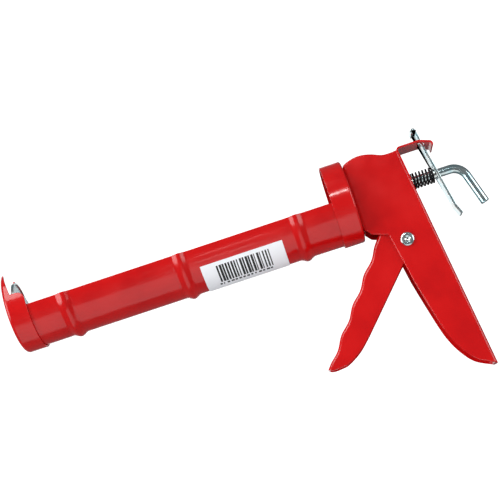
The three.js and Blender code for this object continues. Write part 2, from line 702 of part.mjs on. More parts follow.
/** The plunger: a dished disc whose rim stands forward of its seat on the rod. */
function plungerDisc() {
  const bore = ROD_TIP_RADIUS + FIT_GAP;
  const lip = PLUNGER_RADIUS - PLUNGER_SHEET;
  const slope = PLUNGER_SEAT_RADIUS + PLUNGER_DISH;
  const back = [
    [bore, PLUNGER_DISH + PLUNGER_SHEET],
    [PLUNGER_SEAT_RADIUS, PLUNGER_DISH + PLUNGER_SHEET],
    [slope, PLUNGER_SHEET],
    [lip, PLUNGER_SHEET],
    [lip, PLUNGER_RIM_DEPTH],
    [PLUNGER_RADIUS, PLUNGER_RIM_DEPTH],
  ].reverse();
  const front = [[bore, PLUNGER_DISH], [PLUNGER_SEAT_RADIUS, PLUNGER_DISH], [slope, 0], [PLUNGER_RADIUS, 0]];
  return turned([...front, ...back, front[0]], plungerFace, 1, 36);
}

function plungerBacking() {
  const start = plungerSeat + PLUNGER_SHEET + FACE_GAP;
  return ringX(ROD_TIP_RADIUS + FIT_GAP, BACKING_RADIUS, start, BACKING_THICKNESS);
}

function lockWasher() {
  const start = plungerSeat - FACE_GAP - LOCK_WASHER_THICKNESS;
  return ringX(ROD_TIP_RADIUS + FIT_GAP, LOCK_WASHER_RADIUS, start, LOCK_WASHER_THICKNESS);
}

function plungerNut() {
  const start = plungerSeat - FACE_GAP - LOCK_WASHER_THICKNESS - FACE_GAP - NUT_THICKNESS;
  const hexagon = new THREE.Shape(arc(point(0, 0), NUT_WIDTH / 2 / cosine(30), 0, 300, 5));
  hexagon.holes.push(new THREE.Path(arc(point(0, 0), ROD_TIP_RADIUS + FIT_GAP, 0, 340, 17)));
  return crossPlate(hexagon, start, NUT_THICKNESS);
}

// ---------------------------------------------------------------- assembly

const barrel = new THREE.Group();
barrel.add(
  piece('front_cap', frontCap(), enamel),
  piece('cradle', cradle(), enamel),
  piece('rear_cap', rearCap(), enamel),
  piece('barcode_label', label(), paper),
  ...rivetPlaces.map((place, i) => piece(`cap_rivet_${i + 1}`, capRivet(place), zinc)),
);

const rear = new THREE.Group();
rear.position.x = handleFront;
rear.add(
  piece('handle', handle(), enamel),
  piece('trigger', trigger(), enamel),
  piece('pivot_rivet', pivotRivet(), zinc),
  piece('pivot_washer', pivotWasher(), zinc),
  piece('drive_plate_rear', drivePlate(drivePlateRear), zinc),
  piece('drive_plate_front', drivePlate(drivePlateRear - drivePlateStep), zinc),
  piece('drive_spring', driveSpring(), blackened),
  piece('spring_washer', springWasher(), zinc),
  piece('release_plate', releasePlate(), zinc),
  piece('release_spring', releaseSpring(), blackened),
);

const plunger = new THREE.Group();
plunger.add(
  piece('rod', rod(), zinc),
  piece('plunger_disc', plungerDisc(), zinc),
  piece('plunger_backing', plungerBacking(), zinc),
  piece('lock_washer', lockWasher(), zinc),
  piece('plunger_nut', plungerNut(), zinc),
);

const caulkingGun = new THREE.Group();
caulkingGun.add(barrel, rear, plunger);
const extent = new THREE.Box3().setFromObject(caulkingGun, true);
const middle = extent.getCenter(new THREE.Vector3());
caulkingGun.position.set(-middle.x, -middle.y, -extent.min.z);
caulkingGun.updateMatrixWorld(true);

export default caulkingGun;
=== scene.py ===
"""Looks of a half-barrel caulking gun: enamelled pressed steel, zinc-plated rod and plates, black springs.

Shapes are drawn in gun millimetres: X runs back along the rod from the front edge of the rear cap, Y runs
across and Z runs up from the rod's axis. Each finished piece is then moved into the frame, in metres.
"""

import json
import logging
import math
from collections.abc import Iterable, Sequence
from dataclasses import dataclass, field
from enum import Enum

import bmesh
import bpy
from mathutils import Matrix, Vector

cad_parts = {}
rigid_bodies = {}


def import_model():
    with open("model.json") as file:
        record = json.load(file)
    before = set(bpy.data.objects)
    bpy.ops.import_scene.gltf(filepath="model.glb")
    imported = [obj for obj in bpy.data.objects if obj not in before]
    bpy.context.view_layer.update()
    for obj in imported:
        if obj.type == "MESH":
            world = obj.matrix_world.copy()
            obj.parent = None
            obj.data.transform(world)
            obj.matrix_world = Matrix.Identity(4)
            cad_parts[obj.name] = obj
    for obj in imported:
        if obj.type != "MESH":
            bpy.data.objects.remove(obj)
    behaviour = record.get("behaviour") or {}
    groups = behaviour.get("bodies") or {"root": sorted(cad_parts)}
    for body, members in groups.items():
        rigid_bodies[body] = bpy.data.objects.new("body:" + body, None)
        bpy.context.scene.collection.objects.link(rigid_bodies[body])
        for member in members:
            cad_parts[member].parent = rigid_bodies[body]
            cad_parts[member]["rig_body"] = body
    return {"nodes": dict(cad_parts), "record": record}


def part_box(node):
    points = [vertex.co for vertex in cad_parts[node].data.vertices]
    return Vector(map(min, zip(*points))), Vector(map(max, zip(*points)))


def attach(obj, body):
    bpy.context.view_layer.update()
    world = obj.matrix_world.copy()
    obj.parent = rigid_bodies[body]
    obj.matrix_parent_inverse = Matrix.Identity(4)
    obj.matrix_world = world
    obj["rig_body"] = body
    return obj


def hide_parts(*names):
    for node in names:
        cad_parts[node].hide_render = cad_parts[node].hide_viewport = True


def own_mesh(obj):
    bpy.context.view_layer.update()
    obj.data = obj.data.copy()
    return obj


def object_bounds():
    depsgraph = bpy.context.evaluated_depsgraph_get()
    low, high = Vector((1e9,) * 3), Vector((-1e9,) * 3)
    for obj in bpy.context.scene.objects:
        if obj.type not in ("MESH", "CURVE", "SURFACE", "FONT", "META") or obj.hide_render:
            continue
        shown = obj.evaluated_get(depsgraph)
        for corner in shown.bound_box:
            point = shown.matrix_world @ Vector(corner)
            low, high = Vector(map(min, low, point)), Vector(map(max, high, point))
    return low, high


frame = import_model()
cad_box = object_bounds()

logging.basicConfig(level=logging.INFO, format="%(name)s: %(message)s")
log = logging.getLogger("caulking_gun")

MM = 0.001
# Points nearer than this are one point, and faces flatter together than this are one face.
WELD_MM = 0.004
FLAT_DEGREES = 0.3
# A profile's point nearer its axis than this lies on it.
ON_AXIS_MM = 1e-6
# A cutting tool reaches this far, or a few times as far, past what it cuts.
PAST_MM = 1.0

Point = tuple[float, float]
Line = list[Point]
Tree = bpy.types.NodeTree
Socket = bpy.types.NodeSocket


# ---------------------------------------------------------------- plane geometry


def arc(centre: Point, radius: float, start: float, end: float, steps: int) -> Line:
    """Points of an arc.

    Args:
        centre: Middle of the arc.
        radius: Radius in millimetres.
        start: First angle in degrees, from the first axis towards the second.
        end: Last angle in degrees.
        steps: Number of chords.

    Returns:
        The points from start to end.
    """
    angles = [math.radians(start + (end - start) * i / steps) for i in range(steps + 1)]
    return [(centre[0] + radius * math.cos(a), centre[1] + radius * math.sin(a)) for a in angles]


def curve_through(points: Sequence[Point], steps: int) -> Line:
    """A smooth line through points.

    Args:
        points: The points it passes.
        steps: Number of chords in all.

    Returns:
        The points of a Catmull-Rom spline.
    """
    last = len(points) - 1
    line: Line = []
    for i in range(steps + 1):
        place = last * i / steps
        k = min(int(place), last - 1)
        t = place - k
        ends = [points[max(k - 1, 0)], points[k], points[k + 1], points[min(k + 2, last)]]
        p0, p1, p2, p3 = (Vector(p) for p in ends)
        bend = (p2 - p0) * t / 2 + (2 * p0 - 5 * p1 + 4 * p2 - p3) * t**2 / 2
        at = p1 + bend + (3 * p1 - p0 - 3 * p2 + p3) * t**3 / 2
        line.append((at.x, at.y))
    return line


def rounded(corners: Sequence[Point], radius: float, steps: int = 10) -> Line:
    """A line with its inner corners rounded.

    Args:
        corners: The line's ends and corners.
        radius: Radius of every bend.
        steps: Chords in each bend.

    Returns:
        The points of the line.
    """
    line: Line = [tuple(corners[0])]
    for before, here, after in zip(corners, corners[1:], corners[2:]):
        corner = Vector(here)
        back = (Vector(before) - corner).normalized()
        ahead = (Vector(after) - corner).normalized()
        half = back.angle(ahead) / 2
        centre = corner + (back + ahead).normalized() * radius / math.sin(half)
        first = corner + back * radius / math.tan(half) - centre
        last = corner + ahead * radius / math.tan(half) - centre
        sweep = math.atan2(first.x * last.y - first.y * last.x, first.dot(last))
        start = math.degrees(math.atan2(first.y, first.x))
        line += arc(tuple(centre), radius, start, start + math.degrees(sweep), steps)
    line.append(tuple(corners[-1]))
    return line


def shifted(line: Sequence[Point], distance: float) -> Line:
    """A line moved sideways.

    Args:
        line: The line.
        distance: How far it moves, to its left.

    Returns:
        The moved line.
    """
    points = [Vector(p) for p in line]
    ways = [(b - a).normalized() for a, b in zip(points, points[1:])]
    moved: Line = []
    for i, here in enumerate(points):
        into, out = ways[max(i - 1, 0)], ways[min(i, len(ways) - 1)]
        along = (into + out).normalized()
        stretch = distance / along.dot(out)
        moved.append((here.x - along.y * stretch, here.y + along.x * stretch))
    return moved


def shrunk(outline: Sequence[Point], inset: float) -> Line:
    """A closed outline with its edge moved in.

    Args:
        outline: The outline, drawn counter-clockwise.
        inset: How far its edge moves in.

    Returns:
        The smaller outline.
    """
    points = [Vector(p) for p in outline]
    count = len(points)
    ways = [(points[(i + 1) % count] - points[i]).normalized() for i in range(count)]
    moved: Line = []
    for i, here in enumerate(points):
        along = (ways[i - 1] + ways[i]).normalized()
        # A sharp corner moves by twice the inset at most.
        stretch = inset / max(along.dot(ways[i]), 0.5)
        moved.append((here.x - along.y * stretch, here.y + along.x * stretch))
    return moved


def strip(line: Sequence[Point], thickness: float) -> Line:
    """The outline of a strip of sheet whose middle follows a line."""
    return shifted(line, thickness / 2) + shifted(line, -thickness / 2)[::-1]


# ---------------------------------------------------------------- solid geometry


class Cut(Enum):
    """How one solid changes another."""

    TAKE_AWAY = "DIFFERENCE"
    JOIN = "UNION"
    KEEP_SHARED = "INTERSECT"


class Axis(Enum):
    """Which way a turned solid's axis runs."""

    ROD = "along the rod"
    PIN = "across the gun"

    def point(self, along: float, u: float, v: float) -> Vector:
        """The point at a place along the axis and two across it."""
        return Vector((along, u, v)) if self is Axis.ROD else Vector((u, along, v))


class Solid:
    """A closed mesh in gun millimetres."""

    def __init__(self, shape: bmesh.types.BMesh) -> None:
        """Takes over a bmesh and points its faces outwards.

        Args:
            shape: The closed shape, which is used up.
        """
        bmesh.ops.recalc_face_normals(shape, faces=shape.faces)
        mesh = bpy.data.meshes.new("solid")
        shape.to_mesh(mesh)
        shape.free()
        self.object = bpy.data.objects.new("solid", mesh)
        bpy.context.scene.collection.objects.link(self.object)

    @classmethod
    def loops(cls, rings: Sequence[Sequence[Vector]], closed: bool = False) -> "Solid":
        """A skin through rings of points.

        Args:
            rings: Rings with the same number of points, in order; a ring of one point is a pole.
            closed: Whether the last ring meets the first; otherwise both ends are capped.

        Returns:
            The solid.
        """
        shape = bmesh.new()
        rows = [[shape.verts.new(p) for p in ring] for ring in rings]
        pairs = list(zip(rows, rows[1:] + rows[:1]))
        for low, high in pairs if closed else pairs[:-1]:
            count = max(len(low), len(high))
            if count == 1:
                continue
            for i in range(count):
                corners = [
                    low[i % len(low)],
                    low[(i + 1) % len(low)],
                    high[(i + 1) % len(high)],
                    high[i % len(high)],
                ]
                # A pole gives its one point twice, and the face is a triangle.
                shape.faces.new(list(dict.fromkeys(corners)))
        if not closed:
            for ring in (rows[0], rows[-1]):
                if len(ring) > 2:
                    shape.faces.new(ring)
        return cls(shape)

    @classmethod
    def turned(
        cls, profile: Sequence[Point], axis: Axis = Axis.ROD, sides: int = 96, centre: Point = (0, 0)
    ) -> "Solid":
        """A profile turned about an axis.

        Args:
            profile: Closed profile of (place along the axis, radius) pairs.
            axis: Which way the axis runs.
            sides: Number of sides.
            centre: The axis's place in the two other directions.

        Returns:
            The solid.
        """
        rings = []
        for along, radius in profile:
            ring = [centre] if radius < ON_AXIS_MM else arc(centre, radius, 0, 360, sides)[:-1]
            rings.append([axis.point(along, u, v) for u, v in ring])
        return cls.loops(rings, closed=len(rings[0]) > 1)

    @classmethod
    def drill(
        cls,
        start: float,
        end: float,
        radius: float,
        axis: Axis = Axis.ROD,
        sides: int = 48,
        centre: Point = (0, 0),
    ) -> "Solid":
        """A round bar, as the tool that cuts a hole.

        Args:
            start: Its first end along the axis.
            end: Its last end.
            radius: Radius of the hole.
            axis: Which way the axis runs.
            sides: Number of sides.
            centre: The axis's place in the two other directions.

        Returns:
            The tool.
        """
        profile = [(start, 0), (start, radius), (end, radius), (end, 0)]
        return cls.turned(profile, axis, sides, centre)

    @classmethod
    def side_plate(cls, outline: Sequence[Point], width: float) -> "Solid":
        """An outline in the X-Z plane, as a plate of that width across the gun."""
        halves = (-width / 2, width / 2)
        return cls.loops([[Vector((x, y, z)) for x, z in outline] for y in halves])

    @classmethod
    def soft_plate(cls, outline: Sequence[Point], width: float, edge: float) -> "Solid":
        """A side plate with rounded edges.

        Args:
            outline: Its outline in the X-Z plane.
            width: Its width across the gun.
            edge: Radius of its edges.

        Returns:
            The solid.
        """
        angles = [math.radians(15 * i) for i in range(7)]
        far = [(edge * (1 - math.sin(a)), width / 2 - edge * (1 - math.cos(a))) for a in angles]
        near = [(inset, -y) for inset, y in reversed(far)]
        rings = []
        for inset, y in [*far, *near]:
            rings.append([Vector((x, y, z)) for x, z in shrunk(outline, inset)])
        return cls.loops(rings)

    @classmethod
    def cross_plate(cls, outline: Sequence[Point], start: float, end: float) -> "Solid":
        """An outline in the Y-Z plane, as a plate from x = start to x = end."""
        return cls.loops([[Vector((x, y, z)) for y, z in outline] for x in (start, end)])

    @classmethod
    def tube(cls, route: Sequence[Vector], radius: float, sides: int, chamfer: float = 0.0) -> "Solid":
        """A round bar along a route.

        Args:
            route: Points of its middle line.
            radius: Radius in millimetres.
            sides: Number of sides.
            chamfer: Size of the chamfer at each end.

        Returns:
            The solid.
        """
        ways = [(b - a).normalized() for a, b in zip(route, route[1:])]
        side = ways[0].orthogonal().normalized()
        rings = []
        for i, here in enumerate(route):
            way = (ways[max(i - 1, 0)] + ways[min(i, len(ways) - 1)]).normalized()
            side = (side - way * side.dot(way)).normalized()
            other = way.cross(side)
            rings.append((here, way, side, other))

        def ring(middle: Vector, u: Vector, v: Vector, reach: float) -> list[Vector]:
            """One ring of the bar."""
            return [middle + u * a + v * b for a, b in arc((0, 0), reach, 0, 360, sides)[:-1]]

        skin = [ring(here, u, v, radius) for here, _, u, v in rings]
        if chamfer > 0:
            for end, way in ((0, 1), (-1, -1)):
                here, along, u, v = rings[end]
                skin[end] = ring(here + along * way * chamfer, u, v, radius)
                narrow = ring(here, u, v, radius - chamfer)
                skin = [narrow, *skin] if end == 0 else [*skin, narrow]
        return cls.loops(skin)

    def change(self, tool: "Solid", how: Cut) -> "Solid":
        """Cuts or joins this solid with another, which is used up.

        Args:
            tool: The other solid.
            how: What to do with it.

        Returns:
            This solid.
        """
        modifier = self.object.modifiers.new("change", "BOOLEAN")
        modifier.operation = how.value
        modifier.solver = "EXACT"
        modifier.object = tool.object
        depsgraph = bpy.context.evaluated_depsgraph_get()
        mesh = bpy.data.meshes.new_from_object(self.object.evaluated_get(depsgraph))
        self.object.modifiers.clear()
        self.object.data = mesh
        bpy.data.objects.remove(tool.object)
        return self

    def cut(self, *tools: "Solid") -> "Solid":
        """Takes other solids away from this one.

        Args:
            *tools: The other solids.

        Returns:
            This solid.
        """
        for tool in tools:
            self.change(tool, Cut.TAKE_AWAY)
        return self


def bent_block(corners: Sequence[Point], width: float, radius: float) -> Solid:
    """A four-sided block across the gun whose long edges are rounded, as folded sheet is.

    Args:
        corners: Front top, front foot, rear foot and rear top in the X-Z plane.
        width: Width across the gun.
        radius: Radius of its four long edges.

    Returns:
        The solid.
    """
    front_top, front_foot, rear_foot, rear_top = (Vector(c) for c in corners)
    half = width / 2
    rings = []
    for front, rear in ((front_foot, rear_foot), (front_top, rear_top)):
        length = rear.x - front.x
        slope = (rear.y - front.y) / length
        quarters = (
            (radius, half - radius, 180, 90),
            (length - radius, half - radius, 90, 0),
            (length - radius, radius - half, 0, -90),
            (radius, radius - half, -90, -180),
        )
        ring = []
        for middle, y_middle, start, end in quarters:
            for u, y in arc((middle, y_middle), radius, start, end, 8):
                ring.append(Vector((front.x + u, y, front.y + slope * u)))
        rings.append(ring)
    return Solid.loops(rings)


# ---------------------------------------------------------------- finishes


def linear(code: str) -> tuple[float, float, float, float]:
    """An sRGB hex colour as linear RGBA."""
    channels = [int(code[i:i + 2], 16) / 255 for i in (1, 3, 5)]
    return (*[c / 12.92 if c <= 0.04045 else ((c + 0.055) / 1.055) ** 2.4 for c in channels], 1.0)


def add_node(
    tree: Tree,
    kind: str,
    settings: dict | None = None,
    stops: Sequence[tuple[float, str]] = (),
    **inputs: object,
) -> bpy.types.Node:
    """Adds a node with its settings and links.

    Args:
        tree: The material's node tree.
        kind: Node type without its ShaderNode prefix.
        settings: Attributes of the node.
        stops: Place and sRGB colour of each stop, for a colour ramp.
        **inputs: Socket values, by name with _ for a space or by number as n0, n1; a socket is linked.

    Returns:
        The node.
    """
    node = tree.nodes.new("ShaderNode" + kind)
    for key, value in (settings or {}).items():
        setattr(node, key, value)
    if stops:
        elements = node.color_ramp.elements
        for _ in range(len(stops) - len(elements)):
            elements.new(0.5)
        for element, (place, code) in zip(elements, stops):
            element.position = place
            element.color = linear(code)
    for key, value in inputs.items():
        socket = node.inputs[int(key[1:])] if key[1:].isdigit() else node.inputs[key.replace("_", " ")]
        if isinstance(value, bpy.types.NodeSocket):
            tree.links.new(value, socket)
        else:
            socket.default_value = value
    return node


def blank_material(name: str) -> tuple[bpy.types.Material, Tree]:
    """A material with an empty node tree.

    Args:
        name: The material's name.

    Returns:
        The material and its tree.
    """
    material = bpy.data.materials.new(name)
    material.use_nodes = True
    material.node_tree.nodes.clear()
    return material, material.node_tree


def per_metre(millimetres: float) -> float:
    """The texture scale that repeats once in a length."""
    return 1 / (millimetres * MM)


TIMES = {"operation": "MULTIPLY"}
ABOVE = {"operation": "GREATER_THAN"}
BELOW = {"operation": "LESS_THAN"}


@dataclass(frozen=True)
class StovedEnamel:
    """Stoved alkyd enamel, sprayed on pressed steel and baked: deep, glossy, with faint orange peel."""

    name: str = "stoved_red_enamel"
    colour: str = "#C80C0D"
    thin_colour: str = "#BE0A0D"
    thick_colour: str = "#CE0F0F"
    ior: float = 1.5
    roughness: float = 0.17
    clear_skin: float = 0.1
    skin_roughness: float = 0.06
    cloud_mm: float = 22.0
    peel_mm: float = 1.6
    peel_depth_mm: float = 0.05
    dent_mm: float = 17.0
    dent_depth_mm: float = 0.35

    def material(self) -> bpy.types.Material:
        """Builds the material.

        Returns:
            The material.
        """
        material, tree = blank_material(self.name)
        place = add_node(tree, "TexCoord").outputs["Object"]
        # Spray builds up unevenly: slow clouds of slightly deeper and thinner red.
        clouds = add_node(
            tree, "TexNoise", Vector=place, Scale=per_metre(self.cloud_mm), Detail=3.0, Roughness=0.55
        ).outputs["Fac"]
        reds = [(0.3, self.thin_colour), (0.5, self.colour), (0.72, self.thick_colour)]
        tint = add_node(tree, "ValToRGB", stops=reds, Fac=clouds)
        # Gloss varies a little with the film's thickness, which softens the edges of each highlight.
        smooth, dull = self.roughness - 0.04, self.roughness + 0.06
        gloss = add_node(
            tree, "MapRange", Value=clouds, From_Min=0.3, From_Max=0.7, To_Min=smooth, To_Max=dull
        )
        # The pressed sheet under the paint isn't quite flat, so long reflections wander.
        dents = add_node(tree, "TexNoise", Vector=place, Scale=per_metre(self.dent_mm), Detail=1.0)
        sheet = add_node(
            tree, "Bump", Height=dents.outputs["Fac"], Strength=1.0, Distance=self.dent_depth_mm * MM
        )
        # Orange peel: low waves a millimetre or two apart that make reflections swim.
        peel = add_node(tree, "TexNoise", Vector=place, Scale=per_metre(self.peel_mm), Detail=1.0)
        waves = add_node(
            tree, "Bump", Height=peel.outputs["Fac"], Normal=sheet.outputs["Normal"],
            Strength=0.25, Distance=self.peel_depth_mm * MM,
        )
        shader = add_node(
            tree, "BsdfPrincipled", Base_Color=tint.outputs["Color"], Roughness=gloss.outputs["Result"],
            Normal=waves.outputs["Normal"], IOR=self.ior,
            Coat_Weight=self.clear_skin, Coat_Roughness=self.skin_roughness,
        )
        add_node(tree, "OutputMaterial", Surface=shader.outputs["BSDF"])
        return material


class Draw(Enum):
    """Which way a metal was worked, as the stretch of its fine lines."""

    ALONG_ROD = (0.02, 1.0, 1.0)
    ROLLED = (1.0, 1.0, 0.15)


@dataclass(frozen=True)
class ZincPlate:
    """Electroplated zinc, clear blue passivated, on drawn or rolled steel: bright, cool and a little hazy."""

    name: str
    draw: Draw
    colour: str = "#DCF0F2"
    cool_colour: str = "#B8DEE6"
    warm_colour: str = "#E0E0DA"
    roughness: float = 0.2
    haze_mm: float = 7.0
    line_mm: float = 0.35
    line_depth_mm: float = 0.02

    def material(self) -> bpy.types.Material:
        """Builds the material.

        Returns:
            The material.
        """
        material, tree = blank_material(self.name)
        place = add_node(tree, "TexCoord").outputs["Object"]
        # The passivation film is a few hundred nanometres thick, so its tint drifts from blue-green to straw.
        haze = add_node(tree, "TexNoise", Vector=place, Scale=per_metre(self.haze_mm), Detail=2.0)
        tints = [(0.32, self.cool_colour), (0.52, self.colour), (0.7, self.warm_colour)]
        tint = add_node(tree, "ValToRGB", stops=tints, Fac=haze.outputs["Fac"])
        # Die lines run one way; real ones are a few hundredths apart, drawn coarser so that they show.
        stretched = add_node(tree, "Mapping", Vector=place, Scale=self.draw.value).outputs["Vector"]
        lines = add_node(
            tree, "TexNoise", Vector=stretched, Scale=per_metre(self.line_mm), Detail=2.0
        ).outputs["Fac"]
        bright, dull = self.roughness - 0.05, self.roughness + 0.1
        blur = add_node(tree, "MapRange", Value=lines, From_Min=0.3, From_Max=0.7, To_Min=bright, To_Max=dull)
        scratch = add_node(tree, "Bump", Height=lines, Strength=0.08, Distance=self.line_depth_mm * MM)
        shader = add_node(
            tree, "BsdfPrincipled", Base_Color=tint.outputs["Color"], Metallic=1.0,
            Roughness=blur.outputs["Result"], Normal=scratch.outputs["Normal"],
        )
        add_node(tree, "OutputMaterial", Surface=shader.outputs["BSDF"])
        return material


@dataclass(frozen=True)
class BlackenedWire:
    """Oil-blackened spring steel wire: a dark oxide with a thin wet shine."""

    name: str = "oil_blackened_spring_wire"
    colour: str = "#17181B"
    worn_colour: str = "#34383C"
    metallic: float = 0.7
    roughness: float = 0.34
    patch_mm: float = 1.5
    pit_depth_mm: float = 0.02

    def material(self) -> bpy.types.Material:
        """Builds the material.

        Returns:
            The material.
        """
        material, tree = blank_material(self.name)
        place = add_node(tree, "TexCoord").outputs["Object"]
        # The oxide rubs thin where coils touch, so grey patches show through the black.
        patches = add_node(
            tree, "TexNoise", Vector=place, Scale=per_metre(self.patch_mm), Detail=3.0
        ).outputs["Fac"]
        tint = add_node(tree, "ValToRGB", stops=[(0.45, self.colour), (0.75, self.worn_colour)], Fac=patches)
        pits = add_node(tree, "Bump", Height=patches, Strength=0.2, Distance=self.pit_depth_mm * MM)
        shader = add_node(
            tree, "BsdfPrincipled", Base_Color=tint.outputs["Color"], Metallic=self.metallic,
            Roughness=self.roughness, Normal=pits.outputs["Normal"],
        )
        add_node(tree, "OutputMaterial", Surface=shader.outputs["BSDF"])
        return material


@dataclass(frozen=True)
class LabelPaper:
    """Coated white label paper, printed in black: satin, with a bar pattern that encodes nothing."""

    length_mm: float
    width_mm: float
    name: str = "coated_label_paper"
    paper_colour: str = "#F8FAFF"
    ink_colour: str = "#0E1013"
    paper_roughness: float = 0.42
    ink_roughness: float = 0.3
    bar_mm: float = 1.95
    tick_mm: float = 2.7
    bars_from_mm: float = 8.6
    bars_to_mm: float = 45.6
    bars_top_mm: float = 2.8
    bars_foot_mm: float = 18.2
    ticks_top_mm: float = 19.5
    ticks_foot_mm: float = 21.8
    fibre_mm: float = 0.4
    fibre_depth_mm: float = 0.01

    def material(self) -> bpy.types.Material:
        """Builds the material.

        Returns:
            The material.
        """
        material, tree = blank_material(self.name)
        flat = add_node(tree, "SeparateXYZ", Vector=add_node(tree, "UVMap").outputs["UV"])
        along = add_node(tree, "Math", TIMES, n0=flat.outputs["X"], n1=self.length_mm).outputs[0]
        down = add_node(tree, "Math", TIMES, n0=flat.outputs["Y"], n1=self.width_mm).outputs[0]
        bars = self._row(tree, along, down, self.bar_mm, (self.bars_top_mm, self.bars_foot_mm))
        ticks = self._row(tree, along, down, self.tick_mm, (self.ticks_top_mm, self.ticks_foot_mm))
        either = add_node(tree, "Math", {"operation": "MAXIMUM"}, n0=bars, n1=ticks).outputs[0]
        inside = self._band(tree, along, (self.bars_from_mm, self.bars_to_mm))
        inked = add_node(tree, "Math", TIMES, n0=either, n1=inside).outputs[0]
        tint = add_node(tree, "ValToRGB", stops=[(0.0, self.paper_colour), (1.0, self.ink_colour)], Fac=inked)
        # Ink dries a little glossier than the coated paper round it.
        gloss = add_node(
            tree, "MapRange", Value=inked, To_Min=self.paper_roughness, To_Max=self.ink_roughness
        )
        place = add_node(tree, "TexCoord").outputs["Object"]
        # Paper fibres show as a fine tooth under the coating, which takes the sharpness off reflections.
        fibres = add_node(tree, "TexNoise", Vector=place, Scale=per_metre(self.fibre_mm), Detail=3.0)
        grain = add_node(
            tree, "Bump", Height=fibres.outputs["Fac"], Strength=0.1, Distance=self.fibre_depth_mm * MM
        )
        shader = add_node(
            tree, "BsdfPrincipled", Base_Color=tint.outputs["Color"], Roughness=gloss.outputs["Result"],
            Normal=grain.outputs["Normal"],
        )
        add_node(tree, "OutputMaterial", Surface=shader.outputs["BSDF"])
        return material

    def _row(
        self, tree: Tree, along: Socket, down: Socket, pitch: float, band: tuple[float, float]
    ) -> Socket:
        """A row of evenly set stripes whose widths differ by chance.

        Args:
            tree: The material's node tree.
            along: Millimetres along the label.
            down: Millimetres down the label.
            pitch: Millimetres from stripe to stripe.
            band: Top and foot of the row.

        Returns:
            A mask that is 1 on the stripes.
        """
        steps = add_node(tree, "Math", {"operation": "DIVIDE"}, n0=along, n1=pitch).outputs[0]
        whole = add_node(tree, "Math", {"operation": "FLOOR"}, n0=steps).outputs[0]
        part = add_node(tree, "Math", {"operation": "FRACT"}, n0=steps).outputs[0]
        chance = add_node(tree, "TexWhiteNoise", {"noise_dimensions": "1D"}, W=whole).outputs["Value"]
        share = add_node(tree, "MapRange", Value=chance, To_Min=0.32, To_Max=0.85).outputs["Result"]
        stripes = add_node(tree, "Math", BELOW, n0=part, n1=share).outputs[0]
        rows = self._band(tree, down, band)
        return add_node(tree, "Math", TIMES, n0=stripes, n1=rows).outputs[0]

    def _band(self, tree: Tree, place: Socket, band: tuple[float, float]) -> Socket:
        """A band from one line to another.

        Args:
            tree: The material's node tree.
            place: Millimetres along or down the label.
            band: Its two lines.

        Returns:
            A mask that is 1 between the lines.
        """
        past_first = add_node(tree, "Math", ABOVE, n0=place, n1=band[0]).outputs[0]
        before_last = add_node(tree, "Math", BELOW, n0=place, n1=band[1]).outputs[0]
        return add_node(tree, "Math", TIMES, n0=past_first, n1=before_last).outputs[0]


# ---------------------------------------------------------------- from solid to piece


@dataclass(frozen=True)
class Datum:
    """Where gun millimetres lie in the frame."""

    rear_cap_front: float
    rod_axis: float

    @classmethod
    def from_frame(cls) -> "Datum":
        """Reads the datum from the rear cap's box."""
        low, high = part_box("rear_cap")
        return cls(low.x, (low.z + high.z) / 2)

    def matrix(self) -> Matrix:
        """The matrix from gun millimetres to the frame."""
        return Matrix.Translation((self.rear_cap_front, 0, self.rod_axis)) @ Matrix.Scale(MM, 4)

    def span(self, node: str) -> tuple[Vector, Vector]:
        """A CAD node's box in gun millimetres.

        Args:
            node: The node's name.

        Returns:
            Its lowest and highest corners.
        """
        back = self.matrix().inverted()
        low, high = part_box(node)
        return back @ low, back @ high


@dataclass
class Bench:
    """Turns solids into finished pieces that ride where their CAD nodes ride."""

    datum: Datum
    slots: dict[str, str]
    finishes: dict[str, bpy.types.Material]

    def finish(
        self, solid: Solid, name: str, node: str, edge: float = 0.0, smooth: float = 32.0
    ) -> bpy.types.Object:
        """Dresses a solid and puts it in its CAD node's place.

        Args:
            solid: The shape in gun millimetres.
            name: The piece's name.
            node: The CAD node it stands for.
            edge: Width of the softened edge in millimetres, or 0.
            smooth: Angle in degrees below which shading is smooth.

        Returns:
            The piece.
        """
        piece = solid.object
        piece.name = name
        mesh = piece.data
        mesh.name = name
        self._clean(mesh)
        mesh.transform(self.datum.matrix())
        mesh.shade_smooth()
        mesh.set_sharp_from_angle(angle=math.radians(smooth))
        mesh.materials.clear()
        mesh.materials.append(self.finishes[self.slots[node]])
        if edge > 0:
            self._soften(piece, edge, smooth)
        # Large faces keep their own flat shading beside the softened edges.
        flatten = piece.modifiers.new("flat_faces", "WEIGHTED_NORMAL")
        flatten.keep_sharp = True
        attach(piece, frame["nodes"][node]["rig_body"])
        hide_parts(node)
        return piece

    def _clean(self, mesh: bpy.types.Mesh) -> None:
        """Welds points that coincide and merges faces that lie flat together.

        Args:
            mesh: A mesh in gun millimetres.
        """
        shape = bmesh.new()
        shape.from_mesh(mesh)
        bmesh.ops.remove_doubles(shape, verts=shape.verts, dist=WELD_MM)
        flat = math.radians(FLAT_DEGREES)
        bmesh.ops.dissolve_limit(shape, angle_limit=flat, verts=shape.verts, edges=shape.edges)
        shape.to_mesh(mesh)
        shape.free()

    def _soften(self, piece: bpy.types.Object, edge: float, smooth: float) -> None:
        """Rounds a piece's sharp edges.

        Args:
            piece: The piece.
            edge: Width of the rounding in millimetres.
            smooth: Angle in degrees above which an edge is rounded.
        """
        bevel = piece.modifiers.new("soft_edge", "BEVEL")
        bevel.width = edge * MM
        bevel.segments = 3
        bevel.limit_method = "ANGLE"
        bevel.angle_limit = math.radians(smooth)
        bevel.use_clamp_overlap = False
        bevel.harden_normals = True


# ---------------------------------------------------------------- barrel


